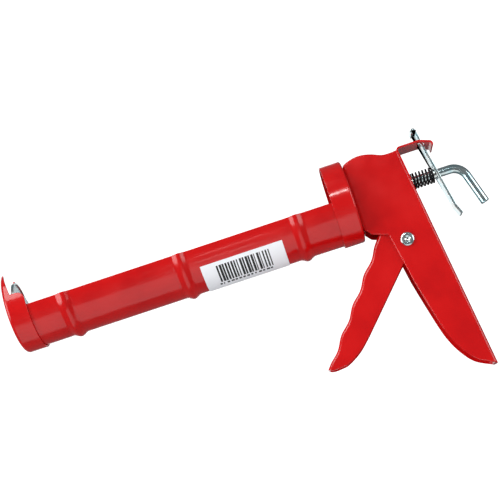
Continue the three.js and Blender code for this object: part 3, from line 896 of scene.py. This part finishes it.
@dataclass
class Barrel:
    """The cradle between its two caps, the rivets and the label. Sizes in millimetres."""

    bench: Bench
    sheet: float = 1.0
    bead_count: int = 3
    bead_width: float = 10.6
    bead_height: float = 2.0
    bead_rear_margin: float = 25.3
    bead_front_margin: float = 23.9
    rear_corner: float = 1.6
    front_corner: float = 2.6
    front_rim_rise: float = 8.0
    front_rim_corner: float = 5.0
    horn_depth: float = 5.3
    horn_taper: float = 11.0
    nozzle_slot: float = 29.0
    rod_hole: float = 3.9
    label_top: float = 30.0
    label_foot: float = 96.0
    label_thickness: float = 0.2
    rivet_radius: float = 1.6
    rivet_dome: float = 1.1
    rivet_count: int = 4
    cap_low: Vector = field(init=False)
    cap_high: Vector = field(init=False)
    front_low: Vector = field(init=False)
    front_high: Vector = field(init=False)
    radius: float = field(init=False)

    def __post_init__(self) -> None:
        """Takes the boxes of the two caps from the frame."""
        self.cap_low, self.cap_high = self.bench.datum.span("rear_cap")
        self.front_low, self.front_high = self.bench.datum.span("front_cap")
        self.radius = self.cap_high.y

    def build(self) -> None:
        """Builds and dresses every piece of the barrel."""
        self.bench.finish(self.front_cap(), "front_cap_cup", "front_cap", edge=0.28)
        self.bench.finish(self.cradle(), "cradle_trough", "cradle", edge=0.22)
        self.bench.finish(self.rear_cap(), "rear_cap_cup", "rear_cap", edge=0.28)
        self.label()
        for number in range(1, self.rivet_count + 1):
            node = f"cap_rivet_{number}"
            self.bench.finish(self.rivet(node), node + "_domed", node)

    def cup_wall(self, floor: float, rim: float, corner: float, hole: float) -> Line:
        """A drawn cup's closed profile.

        Args:
            floor: Place of the floor's outer face along the rod.
            rim: Place of the rim.
            corner: Outer radius of the bend.
            hole: Radius of the hole in the floor, or 0.

        Returns:
            Pairs of place and radius.
        """
        way = math.copysign(1, rim - floor)
        bend = (self.radius - corner, 0)
        outer = [(floor + way * (corner + z), r) for r, z in arc(bend, corner, -90, 0, 12)]
        inner = [(floor + way * (corner + z), r) for r, z in arc(bend, corner - self.sheet, 0, -90, 8)]
        edge = [(rim, self.radius), (rim, self.radius - self.sheet)]
        return [(floor, hole), *outer, *edge, *inner, (floor + way * self.sheet, hole)]

    def front_cap(self) -> Solid:
        """The front cap, with its slot for the nozzle and its cut-away rim.

        Returns:
            The solid.
        """
        face, rim = self.front_low.x, self.front_high.x
        cup = Solid.turned(self.cup_wall(face, rim, self.front_corner, 0), sides=144)
        reach = self.radius + 2 * PAST_MM
        horn_foot = face + self.horn_depth
        horn_top = horn_foot - (reach - self.front_rim_rise) * math.tan(math.radians(self.horn_taper))
        shoulder = (rim - self.front_rim_corner, self.front_rim_rise - self.front_rim_corner)
        rim_cut = [
            (horn_top, reach),
            (horn_foot, self.front_rim_rise),
            *arc(shoulder, self.front_rim_corner, 90, 0, 10),
            (rim + PAST_MM, self.front_rim_rise - self.front_rim_corner),
            (rim + PAST_MM, reach),
        ]
        half = self.nozzle_slot / 2
        slot = [*arc((0, 0), half, 180, 360, 24), (half, reach), (-half, reach)]
        return cup.cut(
            Solid.side_plate(rim_cut, 2 * reach),
            Solid.cross_plate(slot, face - PAST_MM, rim + PAST_MM),
        )

    def rear_cap(self) -> Solid:
        """The rear cap, whose floor carries the handle."""
        profile = self.cup_wall(self.cap_high.x, self.cap_low.x, self.rear_corner, self.rod_hole)
        return Solid.turned(profile, sides=144)

    def stations(self) -> Line:
        """Places along the cradle, with the height of the beads there.

        Returns:
            Pairs of place and height.
        """
        low, high = self.bench.datum.span("cradle")
        first = self.front_high.x + self.bead_front_margin
        pitch = (-self.bead_rear_margin - first) / (self.bead_count - 1)
        steps = 16
        line: Line = [(low.x, 0.0)]
        for bead in range(self.bead_count):
            for i in range(steps + 1):
                share = i / steps
                height = self.bead_height * (1 - math.cos(2 * math.pi * share)) / 2
                line.append((first + pitch * bead + self.bead_width * (share - 0.5), height))
        return [*line, (high.x, 0.0)]

    def cradle(self) -> Solid:
        """The half pipe with its pressed beads.

        Returns:
            The solid.
        """
        low, high = self.bench.datum.span("cradle")
        outer = high.y - self.bead_height

        def trough(radius: float) -> Line:
            """One wall of the section from edge to edge, both edges at the same height."""
            reach = math.degrees(math.acos(-high.z / radius))
            return arc((0, 0), radius, -90 - reach, -90 + reach, 72)

        rings = []
        for x, rise in self.stations():
            section = trough(outer + rise) + trough(outer - self.sheet + rise)[::-1]
            rings.append([Vector((x, y, z)) for y, z in section])
        return Solid.loops(rings)

    def label(self) -> None:
        """The label: a thin sheet wrapped round the near side, with its flat size in a UV map."""
        low, high = self.bench.datum.span("barcode_label")
        length = high.x - low.x
        turn = self.label_foot - self.label_top
        radius = -low.y / math.cos(math.radians(self.label_top))
        paper = LabelPaper(length, math.radians(turn) * radius)
        self.bench.finishes[self.bench.slots["barcode_label"]] = paper.material()
        steps = 40
        places = [low.x + length * i / steps for i in range(steps + 1)]
        skins = []
        for reach in (radius, radius - self.label_thickness):
            rows = arc((0, 0), reach, 180 + self.label_top, 180 + self.label_foot, steps)
            skins.append([[Vector((x, y, z)) for x in places] for y, z in rows])
        rings = [outer + inner[::-1] for outer, inner in zip(*skins)]
        piece = self.bench.finish(Solid.loops(rings), "wrapped_bar_label", "barcode_label")
        back = self.bench.datum.matrix().inverted()
        flat = piece.data.uv_layers.new(name="flat")
        for loop in piece.data.loops:
            place = back @ piece.data.vertices[loop.vertex_index].co
            angle = math.degrees(math.atan2(-place.z, -place.y))
            flat.data[loop.index].uv = ((place.x - low.x) / length, (angle - self.label_top) / turn)

    def rivet(self, node: str) -> Solid:
        """A rivet with a low dome at each end.

        Args:
            node: Its CAD node.

        Returns:
            The solid.
        """
        low, high = self.bench.datum.span(node)
        middle = (low + high) / 2
        head = (high.y - low.y) / 2
        steps = 8
        front = []
        for i in range(steps + 1):
            angle = math.pi / 2 * (steps - i) / steps
            front.append((low.x + self.rivet_dome * (1 - math.sin(angle)), head * math.cos(angle)))
        rear = [(low.x + high.x - x, r) for x, r in reversed(front)]
        shank = [(low.x + self.rivet_dome, self.rivet_radius), (high.x - self.rivet_dome, self.rivet_radius)]
        return Solid.turned([*front, *shank, *rear], sides=32, centre=(middle.y, middle.z))


# ---------------------------------------------------------------- handle and trigger


@dataclass(frozen=True)
class ReleaseLine:
    """How the release plate leans behind the handle. Sizes in millimetres."""

    setback: float = 58.2
    lean: float = 9.4
    width: float = 13.0

    def at(self, front: float, z: float) -> Point:
        """The plate's middle at a height, behind the handle's front."""
        return (front + self.setback - z * math.tan(math.radians(self.lean)), z)


@dataclass
class Grip:
    """The folded handle with its strap, the folded trigger and their pivot. Sizes in millimetres."""

    bench: Bench
    release: ReleaseLine = ReleaseLine()
    sheet: float = 1.2
    bend: float = 2.4
    edge: float = 1.0
    block_top: float = 40.0
    block_depth: float = 60.0
    spine_setback: float = 40.4
    spine_lean: float = 5.9
    spine_top: float = 20.0
    foot: float = -130.4
    belly_bend: float = 3.0
    belly: tuple[Point, ...] = ((0, -10), (0, -21.6), (4.4, -26.8), (14, -30.2))
    palm: tuple[Point, ...] = (
        (14.6, -31.4), (18.1, -51.9), (20.3, -65.2), (26.9, -94.6),
        (31, -107.5), (36.2, -117.1), (42.6, -124.5),
    )
    palm_end: Point = (-1.2, 0.6)
    crown: tuple[Point, ...] = (
        (38.2, 21.4), (32.3, 21), (27.2, 21.4), (20.2, 24.2),
        (13.5, 25.6), (7.3, 25.1), (1.5, 23), (0, 20.5),
    )
    rod_hole: float = 3.9
    window_width: float = 9.2
    strap_top: float = 23.1
    strap_length: float = 15.5
    strap_bend: float = 2.0
    strap_shoulder: Point = (8.2, -3.0)
    strap_lip: Point = (-0.6, -2.4)
    strap_slot: float = 4.2
    slot_clearance: float = 0.3
    pivot_setback: float = 25.0
    pivot_height: float = -36.8
    pivot_hole: float = 3.3
    nose_arm: float = 17.0
    nose_angle: float = 21.0
    nose_radius: float = 2.5
    throat_drop: float = 4.4
    throat_lip: tuple[Point, ...] = ((0.3, 0), (-1, -1))
    throat_sag: float = 2.4
    boss_radius: float = 7.0
    trigger_start: Point = (6.0, -30.9)
    trigger_reach: float = 90.1
    trigger_lead: float = 4.0
    trigger_spread: float = 38.7
    trigger_toe: tuple[Point, ...] = ((0, 0), (3.5, -1.3), (9, -1.1), (14.4, 0), (23.8, 5.4), (32.8, 13.6))
    trigger_back: Point = (67.3, 49.6)
    grip_pitch: float = 21.0
    grip_depth: float = 1.3
    grip_count: int = 4
    rivet_rise: float = 1.4
    rivet_shank: float = 3.0
    dimple_radius: float = 2.1
    dimple_depth: float = 1.15
    dimple_rise: float = 1.05
    rivet_lip: tuple[Point, ...] = ((0, 0.7), (-0.12, 0.35))
    front: float = field(init=False)
    width: float = field(init=False)
    pivot: Point = field(init=False)

    def __post_init__(self) -> None:
        """Takes the handle's front and width from the frame and places the pivot."""
        low, high = self.bench.datum.span("handle")
        self.front = low.x
        self.width = high.y - low.y
        self.pivot = (self.front + self.pivot_setback, self.pivot_height)

    def build(self) -> None:
        """Builds and dresses the handle, the trigger and the pivot."""
        self.bench.finish(self.handle(), "handle_channel", "handle", edge=0.22, smooth=38)
        self.bench.finish(self.trigger(), "trigger_channel", "trigger", edge=0.22, smooth=38)
        self.bench.finish(self.rivet(), "pivot_rivet_dimpled", "pivot_rivet")
        self.bench.finish(self.washer(), "pivot_washer_plain", "pivot_washer", edge=0.1)

    def spine(self, z: float) -> Point:
        """The spine's outer face at a height."""
        return (self.front + self.spine_setback - z * math.tan(math.radians(self.spine_lean)), z)

    def side(self) -> Line:
        """The handle's side: belly, palm edge, foot, spine and crown.

        Returns:
            The outline, counter-clockwise.
        """
        foot_x, foot_z = self.spine(self.foot)
        palm_end = (foot_x - self.front + self.palm_end[0], foot_z + self.palm_end[1])
        belly = rounded(self.belly, self.belly_bend)
        palm = curve_through([*self.palm, palm_end], 56)
        crown = curve_through(self.crown, 48)
        ahead = [(self.front + x, z) for x, z in belly + palm]
        above = [(self.front + x, z) for x, z in crown]
        return [*ahead, self.spine(self.foot), self.spine(self.spine_top), *above]

    def handle(self) -> Solid:
        """The handle: a bent channel cut to its side, with the strap joined on.

        Returns:
            The solid.
        """
        top, low = self.block_top, self.foot - 10 * PAST_MM

        def corners(inset: float, past: float) -> Line:
            """Corners of a block inside the handle's faces.

            Args:
                inset: How far inside the front and the spine it is.
                past: How far it runs past the channel's ends.

            Returns:
                Front top, front foot, rear foot and rear top.
            """
            front = self.front + inset
            rear_top = self.spine(top)[0] - inset
            rear_low = self.spine(low)[0] - inset
            return [(front, top + past), (front, low - past), (rear_low, low - past), (rear_top, top + past)]

        channel = bent_block(corners(0, 0), self.width, self.bend)
        inside = corners(self.sheet, 5 * PAST_MM)
        channel.cut(bent_block(inside, self.width - 2 * self.sheet, self.bend - self.sheet))
        # A hair wider than the channel, so that no two faces coincide.
        side = Solid.soft_plate(self.side(), self.width + 0.02, self.edge)
        channel.change(side, Cut.KEEP_SHARED)
        channel.change(self.strap(), Cut.JOIN)
        half = self.window_width / 2
        window = [(-half, -top), (half, -top), (half, top), (-half, top)]
        spine = self.front + self.spine_setback
        return channel.cut(
            Solid.cross_plate(window, self.front - PAST_MM, self.front + self.sheet + PAST_MM),
            Solid.drill(spine - 6 * PAST_MM, spine + 4 * PAST_MM, self.rod_hole),
        )

    def strap(self) -> Solid:
        """The strap behind the spine, with its slot and its turned-down lip.

        Returns:
            The solid.
        """
        half = self.sheet / 2
        level = self.strap_top - half
        start = (self.spine(level)[0] - half, level)
        end = (start[0] + self.strap_length, level)
        shoulder = (end[0] + self.strap_shoulder[0], level + self.strap_shoulder[1])
        lip = (shoulder[0] + self.strap_lip[0], shoulder[1] + self.strap_lip[1])
        root = (self.spine(0)[0] - half, 0)
        line = rounded([root, start, end, shoulder, lip], self.strap_bend)
        strap = Solid.side_plate(strip(line, self.sheet), self.width)
        middle = self.release.at(self.front, level)[0]
        front, rear = middle - self.strap_slot / 2, middle + self.strap_slot / 2
        foot, top = level - 4 * PAST_MM, level + 4 * PAST_MM
        slot = [(front, foot), (rear, foot), (rear, top), (front, top)]
        return strap.cut(Solid.side_plate(slot, self.release.width + 2 * self.slot_clearance))

    def slant(self) -> tuple[Vector, Vector]:
        """The way down the trigger's finger side, and the way out of it."""
        lean = math.radians(self.trigger_spread)
        return Vector((-math.sin(lean), -math.cos(lean))), Vector((-math.cos(lean), math.sin(lean)))

    def finger_line(self) -> Line:
        """The finger side of the trigger, with a shallow hollow per finger.

        Returns:
            The line, from its top down.
        """
        along, outward = self.slant()
        start = Vector((self.front + self.trigger_start[0], self.trigger_start[1]))
        per_grip = 24
        first = (self.trigger_reach - self.grip_count * self.grip_pitch) / 2
        stations = [(-self.trigger_lead, 0.0)]
        for i in range(self.grip_count * per_grip + 1):
            hollow = self.grip_depth * (1 - math.cos(2 * math.pi * i / per_grip)) / 2
            stations.append((first + self.grip_pitch * i / per_grip, -hollow))
        stations.append((self.trigger_reach, 0.0))
        return [tuple(start + along * reach + outward * depth) for reach, depth in stations]

    def trigger_side(self) -> Line:
        """The trigger's side: finger line, toe, back edge, pivot boss and nose.

        Returns:
            The outline, counter-clockwise.
        """
        front = self.finger_line()
        toe = Vector(front[-1])
        under = curve_through([tuple(toe + Vector(step)) for step in self.trigger_toe], 45)[1:]
        back = tuple(toe + Vector(self.trigger_back))
        boss = arc(self.pivot, self.boss_radius, -60, 20, 14)
        angle = math.radians(self.nose_angle)
        nose_x = self.pivot[0] + self.nose_arm * math.sin(angle)
        nose_z = self.pivot[1] + self.nose_arm * math.cos(angle)
        nose = arc((nose_x, nose_z), self.nose_radius, 0, 180, 16)
        # The throat dips under the drive plates and then falls slowly to the finger side.
        throat_x, throat_z = nose_x - self.nose_radius, nose_z - self.throat_drop
        throat = [(throat_x + x, throat_z + z) for x, z in self.throat_lip]
        sag = ((nose_x + self.front + self.trigger_start[0]) / 2, throat_z - self.throat_sag)
        return [*front, *under, back, *boss, *nose, *throat, sag]

    def trigger(self) -> Solid:
        """The trigger: a bent channel swept down the finger line and cut to its side.

        Returns:
            The solid.
        """
        half = self.bench.datum.span("trigger")[1].y
        bend = (half - self.bend, self.bend)
        outer = arc(bend, self.bend, -90, 0, 8)
        inner = arc(bend, self.bend - self.sheet, 0, -90, 6)
        right = [*outer, (half, self.block_depth), (half - self.sheet, self.block_depth), *inner]
        section = [*right, *[(-y, depth) for y, depth in reversed(right)]]
        along, outward = self.slant()
        line = self.finger_line()
        above = tuple(Vector(line[0]) - along * 40 * PAST_MM)
        below = tuple(Vector(line[-1]) + along * 12 * PAST_MM)
        rings = []
        for x, z in [above, *line, below]:
            rings.append([Vector((x - outward.x * d, y, z - outward.y * d)) for y, d in section])
        channel = Solid.loops(rings)
        channel.change(Solid.side_plate(self.trigger_side(), 2 * half + 4 * PAST_MM), Cut.KEEP_SHARED)
        reach = half + 10 * PAST_MM
        return channel.cut(Solid.drill(-reach, reach, self.pivot_hole, Axis.PIN, centre=self.pivot))

    def rivet(self) -> Solid:
        """The pivot rivet, with a dimpled head on each side.

        Returns:
            The solid.
        """
        low, high = self.bench.datum.span("pivot_rivet")
        rise, dimple, steps = self.rivet_rise, self.dimple_radius, 8
        crown = arc((0, (high.x - low.x) / 2 - rise), rise, 90, 0, 10)
        lip = [(rise + x, dimple + r) for x, r in self.rivet_lip]
        floor = rise - self.dimple_depth
        bowl = []
        for i in range(steps, -1, -1):
            bowl.append((floor + self.dimple_rise * (i / steps) ** 2, dimple * i / steps))
        head = [*crown, *lip, *bowl]
        near_face, far_face = low.y + rise, high.y - rise
        near = [(near_face - x, r) for x, r in reversed(head)]
        far = [(far_face + x, r) for x, r in head]
        shank = [(near_face, self.rivet_shank), (far_face, self.rivet_shank)]
        return Solid.turned([*near, *shank, *far], Axis.PIN, 64, self.pivot)

    def washer(self) -> Solid:
        """The washer under the rivet's far head.

        Returns:
            The solid.
        """
        low, high = self.bench.datum.span("pivot_washer")
        radius = (high.x - low.x) / 2
        profile = [(low.y, self.pivot_hole), (low.y, radius), (high.y, radius), (high.y, self.pivot_hole)]
        return Solid.turned(profile, Axis.PIN, 64, self.pivot)


# ---------------------------------------------------------------- drive and release


@dataclass
class Drive:
    """The gripping plates, the release plate and the two springs. Sizes in millimetres."""

    bench: Bench
    release: ReleaseLine = ReleaseLine()
    plate_corner: float = 4.0
    rod_bore: float = 3.35
    washer_bore: float = 3.9
    wire: float = 1.5
    coils: int = 5
    release_wire: float = 1.2
    release_coils: int = 7
    release_thickness: float = 1.8
    release_bore: float = 3.75
    release_foot: float = -30.8
    release_top: float = 32.9
    kick: float = 2.2
    kick_length: float = 4.0
    kick_height: float = 6.0
    kick_bend: float = 6.0
    curl: float = 1.9
    curl_length: float = 3.6
    curl_bend: float = 0.9

    def build(self) -> None:
        """Builds and dresses the plates and springs."""
        for node in ("drive_plate_rear", "drive_plate_front"):
            self.bench.finish(self.plate(node), node + "_stamped", node, edge=0.2)
        self.bench.finish(self.washer(), "spring_washer_plain", "spring_washer", edge=0.1)
        self.bench.finish(self.release_plate(), "release_thumb_plate", "release_plate", edge=0.3, smooth=40)
        self.drive_spring()
        self.release_spring()

    def plate(self, node: str) -> Solid:
        """A gripping plate with rounded upper corners.

        Args:
            node: Its CAD node.

        Returns:
            The solid.
        """
        low, high = self.bench.datum.span(node)
        side, corner = high.y, self.plate_corner
        top = high.z - corner
        outline = [
            (-side, low.z),
            (side, low.z),
            *arc((side - corner, top), corner, 0, 90, 10),
            *arc((corner - side, top), corner, 90, 180, 10),
        ]
        bore = Solid.drill(low.x - PAST_MM, high.x + PAST_MM, self.rod_bore)
        return Solid.cross_plate(outline, low.x, high.x).cut(bore)

    def washer(self) -> Solid:
        """The washer that seats the drive spring.

        Returns:
            The solid.
        """
        low, high = self.bench.datum.span("spring_washer")
        bore = self.washer_bore
        return Solid.turned([(low.x, bore), (low.x, high.y), (high.x, high.y), (high.x, bore)], sides=64)

    def release_plate(self) -> Solid:
        """The release plate: curled head, straight middle and kicked foot.

        Returns:
            The solid.
        """
        half = self.release_thickness / 2
        front = self.bench.datum.span("handle")[0].x
        middle = self.release.at(front, 0)
        crest = self.release_top - half
        head = self.release.at(front, crest)
        curl = head[0] - self.curl
        foot = self.release.at(front, self.release_foot + self.kick_length)
        toe = (foot[0] + self.kick, foot[1] - self.kick_length)
        heel = self.release.at(front, self.release_foot + self.kick_height)
        lower = rounded([toe, heel, middle], self.kick_bend, 8)
        curl_end = (curl, crest + half - self.curl_length)
        upper = rounded([middle, head, (curl, crest), curl_end], self.curl_bend, 8)
        line = lower[:-1] + upper[1:]
        plate = Solid.side_plate(strip(line, self.release_thickness), self.release.width)
        reach = 8 * PAST_MM
        return plate.cut(Solid.drill(middle[0] - reach, middle[0] + reach, self.release_bore))

    def coil(self, start: float, end: float, radius: float, wire: float, coils: int) -> Solid:
        """A coil spring about the rod with a closed turn at each end.

        Args:
            start: Front end along the rod.
            end: Rear end along the rod.
            radius: Radius of the wire's middle line.
            wire: Wire diameter.
            coils: Number of turns.

        Returns:
            The solid.
        """
        per_turn = 40
        # A closed turn advances just over its own wire, so that it doesn't cut into the next.
        closed = wire * 1.05
        pitch = (end - start - wire - 2 * closed) / (coils - 2)
        route = []
        for i in range(coils * per_turn + 1):
            turns = i / per_turn
            shut = min(turns, 1) + max(turns - (coils - 1), 0)
            angle = 2 * math.pi * turns
            along = start + wire / 2 + shut * closed + (turns - shut) * pitch
            route.append(Vector((along, radius * math.sin(angle), radius * math.cos(angle))))
        return Solid.tube(route, wire / 2, 12, chamfer=0.15)

    def drive_spring(self) -> None:
        """The spring behind the plates."""
        datum = self.bench.datum
        low, high = datum.span("drive_spring")
        rear_end = datum.matrix() @ Vector((high.x, 0, 0))
        drive = self.coil(low.x, high.x, high.y - self.wire / 2, self.wire, self.coils)
        piece = self.bench.finish(drive, "drive_coil_spring", "drive_spring", smooth=60)
        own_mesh(piece)

    def release_spring(self) -> None:
        """The spring at the spine."""
        datum = self.bench.datum
        low, high = datum.span("release_spring")
        front_end = datum.matrix() @ Vector((low.x, 0, 0))
        radius = high.y - self.release_wire / 2
        release = self.coil(low.x, high.x, radius, self.release_wire, self.release_coils)
        piece = self.bench.finish(release, "release_coil_spring", "release_spring", smooth=60)
        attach(piece, "frame")
        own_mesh(piece)


# ---------------------------------------------------------------- rod and plunger


@dataclass
class Pusher:
    """The bent rod and the plunger on its front end. Sizes in millimetres."""

    bench: Bench
    tail: float = 66.9
    bend_radius: float = 10.0
    hook_angle: float = 74.6
    hook_leg: float = 21.4
    tip_radius: float = 2.3
    shoulder_gap: float = 0.15
    plate: float = 1.2
    dish: float = 1.5
    rim_depth: float = 1.8
    seat: float = 9.0
    gap: float = 0.3

    def build(self) -> None:
        """Builds and dresses the rod, the plunger and its fasteners."""
        self.bench.finish(self.rod(), "bent_rod", "rod", smooth=40)
        self.bench.finish(self.disc(), "plunger_dish", "plunger_disc", edge=0.15)
        self.bench.finish(self.ring("plunger_backing"), "plunger_backing_plate", "plunger_backing", edge=0.15)
        self.bench.finish(self.ring("lock_washer"), "lock_washer_split", "lock_washer", edge=0.1)
        self.bench.finish(self.nut(), "plunger_hex_nut", "plunger_nut", edge=0.15)

    def rod(self) -> Solid:
        """The rod: reduced tip, long straight and hooked tail.

        Returns:
            The solid.
        """
        low, high = self.bench.datum.span("rod")
        radius = high.z
        shoulder = self.bench.datum.span("plunger_backing")[1].x + self.shoulder_gap
        start = self.bench.datum.span("handle")[0].x + self.tail
        bend = arc((start, -self.bend_radius), self.bend_radius, 90, 90 - self.hook_angle, 28)
        way = math.radians(90 - self.hook_angle)
        end = (bend[-1][0] + self.hook_leg * math.sin(way), bend[-1][1] - self.hook_leg * math.cos(way))
        steps = 30
        straight = [(shoulder + (start - shoulder) * i / steps, 0.0) for i in range(steps)]
        route = [Vector((x, 0, z)) for x, z in [*straight, *bend, end]]
        shaft = Solid.tube(route, radius, 40, chamfer=0.5)
        tip = [Vector((x, 0, 0)) for x in (low.x, shoulder + radius)]
        return shaft.change(Solid.tube(tip, self.tip_radius, 40, chamfer=0.4), Cut.JOIN)

    def disc(self) -> Solid:
        """The dished plunger disc with its turned rim.

        Returns:
            The solid.
        """
        low, high = self.bench.datum.span("plunger_disc")
        radius = high.y
        bore = self.tip_radius + self.gap
        floor = low.x + self.dish
        slope = self.seat + self.dish
        lip = radius - self.plate
        front = [(floor, bore), (floor, self.seat), (low.x, slope), (low.x, radius)]
        back = [
            (low.x + self.rim_depth, radius),
            (low.x + self.rim_depth, lip),
            (low.x + self.plate, lip),
            (low.x + self.plate, slope),
            (floor + self.plate, self.seat),
            (floor + self.plate, bore),
        ]
        return Solid.turned(front + back, sides=96)

    def ring(self, node: str) -> Solid:
        """A flat ring on the rod's tip, as big as its CAD node.

        Args:
            node: The CAD node.

        Returns:
            The solid.
        """
        low, high = self.bench.datum.span(node)
        bore = self.tip_radius + self.gap
        return Solid.turned([(low.x, bore), (low.x, high.y), (high.x, high.y), (high.x, bore)], sides=64)

    def nut(self) -> Solid:
        """The hexagonal nut on the rod's tip.

        Returns:
            The solid.
        """
        low, high = self.bench.datum.span("plunger_nut")
        nut = Solid.cross_plate(arc((0, 0), high.y, 0, 300, 5), low.x, high.x)
        bore = self.tip_radius + self.gap
        return nut.cut(Solid.drill(low.x - PAST_MM, high.x + PAST_MM, bore, sides=32))


# ---------------------------------------------------------------- studio


@dataclass(frozen=True)
class Lamp:
    """A flat rectangular light that faces the gun. Lengths in metres, from the middle of the gun."""

    name: str
    place: tuple[float, float, float]
    size: tuple[float, float]
    watts: float
    mirrored: bool = True

    def build(self) -> None:
        """Hangs the light, which the camera doesn't see."""
        data = bpy.data.lights.new(self.name, "AREA")
        data.shape = "RECTANGLE"
        data.size, data.size_y = self.size
        data.energy = self.watts
        lamp = bpy.data.objects.new(self.name, data)
        lamp.visible_camera = False
        lamp.visible_glossy = self.mirrored
        low, high = cad_box
        lamp.location = (low + high) / 2 + Vector(self.place)
        lamp.rotation_euler = (-Vector(self.place)).to_track_quat("-Z", "Y").to_euler()
        bpy.context.scene.collection.objects.link(lamp)


@dataclass
class Studio:
    """A pale sweep, soft lights and the camera. Lengths in metres, angles in degrees."""

    datum: Datum
    aim: tuple[float, float, float] = (-0.05995, 0.0, -0.0092)
    azimuth: float = 1.735
    elevation: float = -9.716
    roll: float = -18.035
    distance: float = 0.88665
    lens: float = 96.45
    air_colour: str = "#C9CDD0"
    air_strength: float = 0.25
    paper_colour: str = "#FFFFFF"
    paper_glow: float = 0.9
    floor_drop: float = 0.3
    floor_reach: float = 6.0
    wall_place: float = 2.5
    wall_top: float = 5.0
    cove: float = 1.0
    lamps: tuple[Lamp, ...] = (
        Lamp("key_softbox", (-0.5, -0.75, 1.0), (0.9, 0.9), 12),
        Lamp("left_softbox", (-1.1, -0.6, 0.15), (0.8, 0.8), 8),
        Lamp("right_softbox", (1.1, -0.6, 0.1), (0.8, 0.8), 6),
        Lamp("bounce_card", (-0.05, -0.35, -0.95), (1.3, 1.1), 3.5),
        Lamp("bounce_fill", (-0.05, -0.6, -0.7), (1.0, 1.0), 3, mirrored=False),
        Lamp("rear_card", (-0.35, 1.1, 0.3), (1.0, 1.0), 3),
        Lamp("catch_light", (0.12, -0.78, 0.4), (0.1, 0.05), 0.5),
        Lamp("high_streak", (-0.062, -0.85, -0.24), (0.13, 0.012), 0.05),
        Lamp("low_streak", (-0.062, -0.7, -0.45), (0.13, 0.012), 0.05),
    )

    def build(self) -> None:
        """Builds the stage, the lights and the camera."""
        scene = bpy.context.scene
        scene.view_settings.view_transform = "Standard"
        world = bpy.data.worlds.new("studio")
        world.use_nodes = True
        air = world.node_tree.nodes["Background"].inputs
        air["Color"].default_value = linear(self.air_colour)
        air["Strength"].default_value = self.air_strength
        scene.world = world
        self.stage()
        self.camera()
        for lamp in self.lamps:
            lamp.build()

    def stage(self) -> None:
        """The pale floor and the backdrop behind it."""
        # Seamless matt paper, lit evenly enough to show as a plain ground.
        material, tree = blank_material("pale_paper_sweep")
        white = linear(self.paper_colour)
        shader = add_node(
            tree, "BsdfPrincipled", Base_Color=white, Roughness=0.9,
            Emission_Color=white, Emission_Strength=self.paper_glow,
        )
        add_node(tree, "OutputMaterial", Surface=shader.outputs["BSDF"])
        bend = [(self.wall_place + x, z) for x, z in arc((-self.cove, self.cove), self.cove, -90, 0, 16)]
        shape = bmesh.new()
        rows = []
        for y, z in [(-self.floor_reach, 0.0), *bend, (self.wall_place, self.wall_top)]:
            ends = (-self.floor_reach, self.floor_reach)
            rows.append([shape.verts.new((x, y, z - self.floor_drop)) for x in ends])
        for low, high in zip(rows, rows[1:]):
            shape.faces.new((low[0], low[1], high[1], high[0]))
        mesh = bpy.data.meshes.new("paper_sweep")
        shape.to_mesh(mesh)
        shape.free()
        mesh.materials.append(material)
        sweep = bpy.data.objects.new("paper_sweep", mesh)
        bpy.context.scene.collection.objects.link(sweep)
        # The paper is seen but neither lights the gun, shows in it nor blocks the lights below.
        sweep.visible_glossy = False
        sweep.visible_diffuse = False
        sweep.visible_shadow = False

    def camera(self) -> None:
        """The camera, a little below the gun and rolled so that the barrel climbs to the right."""
        a, e, r = (math.radians(v) for v in (self.azimuth, self.elevation, self.roll))
        ahead = Vector((-math.sin(a) * math.cos(e), math.cos(a) * math.cos(e), -math.sin(e)))
        level = Vector((math.cos(a), math.sin(a), 0))
        upright = level.cross(ahead)
        right = level * math.cos(r) + upright * math.sin(r)
        up = upright * math.cos(r) - level * math.sin(r)
        aim = self.datum.matrix() @ (Vector(self.aim) / MM)
        data = bpy.data.cameras.new("camera")
        data.lens = self.lens
        data.sensor_width = 36
        data.clip_start = 0.01
        camera = bpy.data.objects.new("camera", data)
        place = Matrix((right, up, -ahead)).transposed().to_4x4()
        place.translation = aim - ahead * self.distance
        camera.matrix_world = place
        bpy.context.scene.collection.objects.link(camera)
        bpy.context.scene.camera = camera


# ---------------------------------------------------------------- all together


def finishes() -> dict[str, bpy.types.Material]:
    """One material for each of the record's slots but the label's, which needs the label's size.

    Returns:
        The materials by slot.
    """
    return {
        "red_enamel": StovedEnamel().material(),
        "zinc_plated_sheet": ZincPlate("zinc_plated_sheet_steel", Draw.ROLLED).material(),
        "zinc_plated_rod": ZincPlate("zinc_plated_drawn_rod", Draw.ALONG_ROD, roughness=0.17).material(),
        "black_spring_wire": BlackenedWire().material(),
    }


def main() -> None:
    """Builds the studio and every piece of the gun."""
    datum = Datum.from_frame()
    slots = {part["node"]: part["material_slot"] for part in frame["record"]["subparts"]}
    bench = Bench(datum, slots, finishes())
    Studio(datum).build()
    for maker in (Barrel, Grip, Drive, Pusher):
        maker(bench).build()
        log.info("%s is built", maker.__name__)


if __name__ == "__main__":
    main()
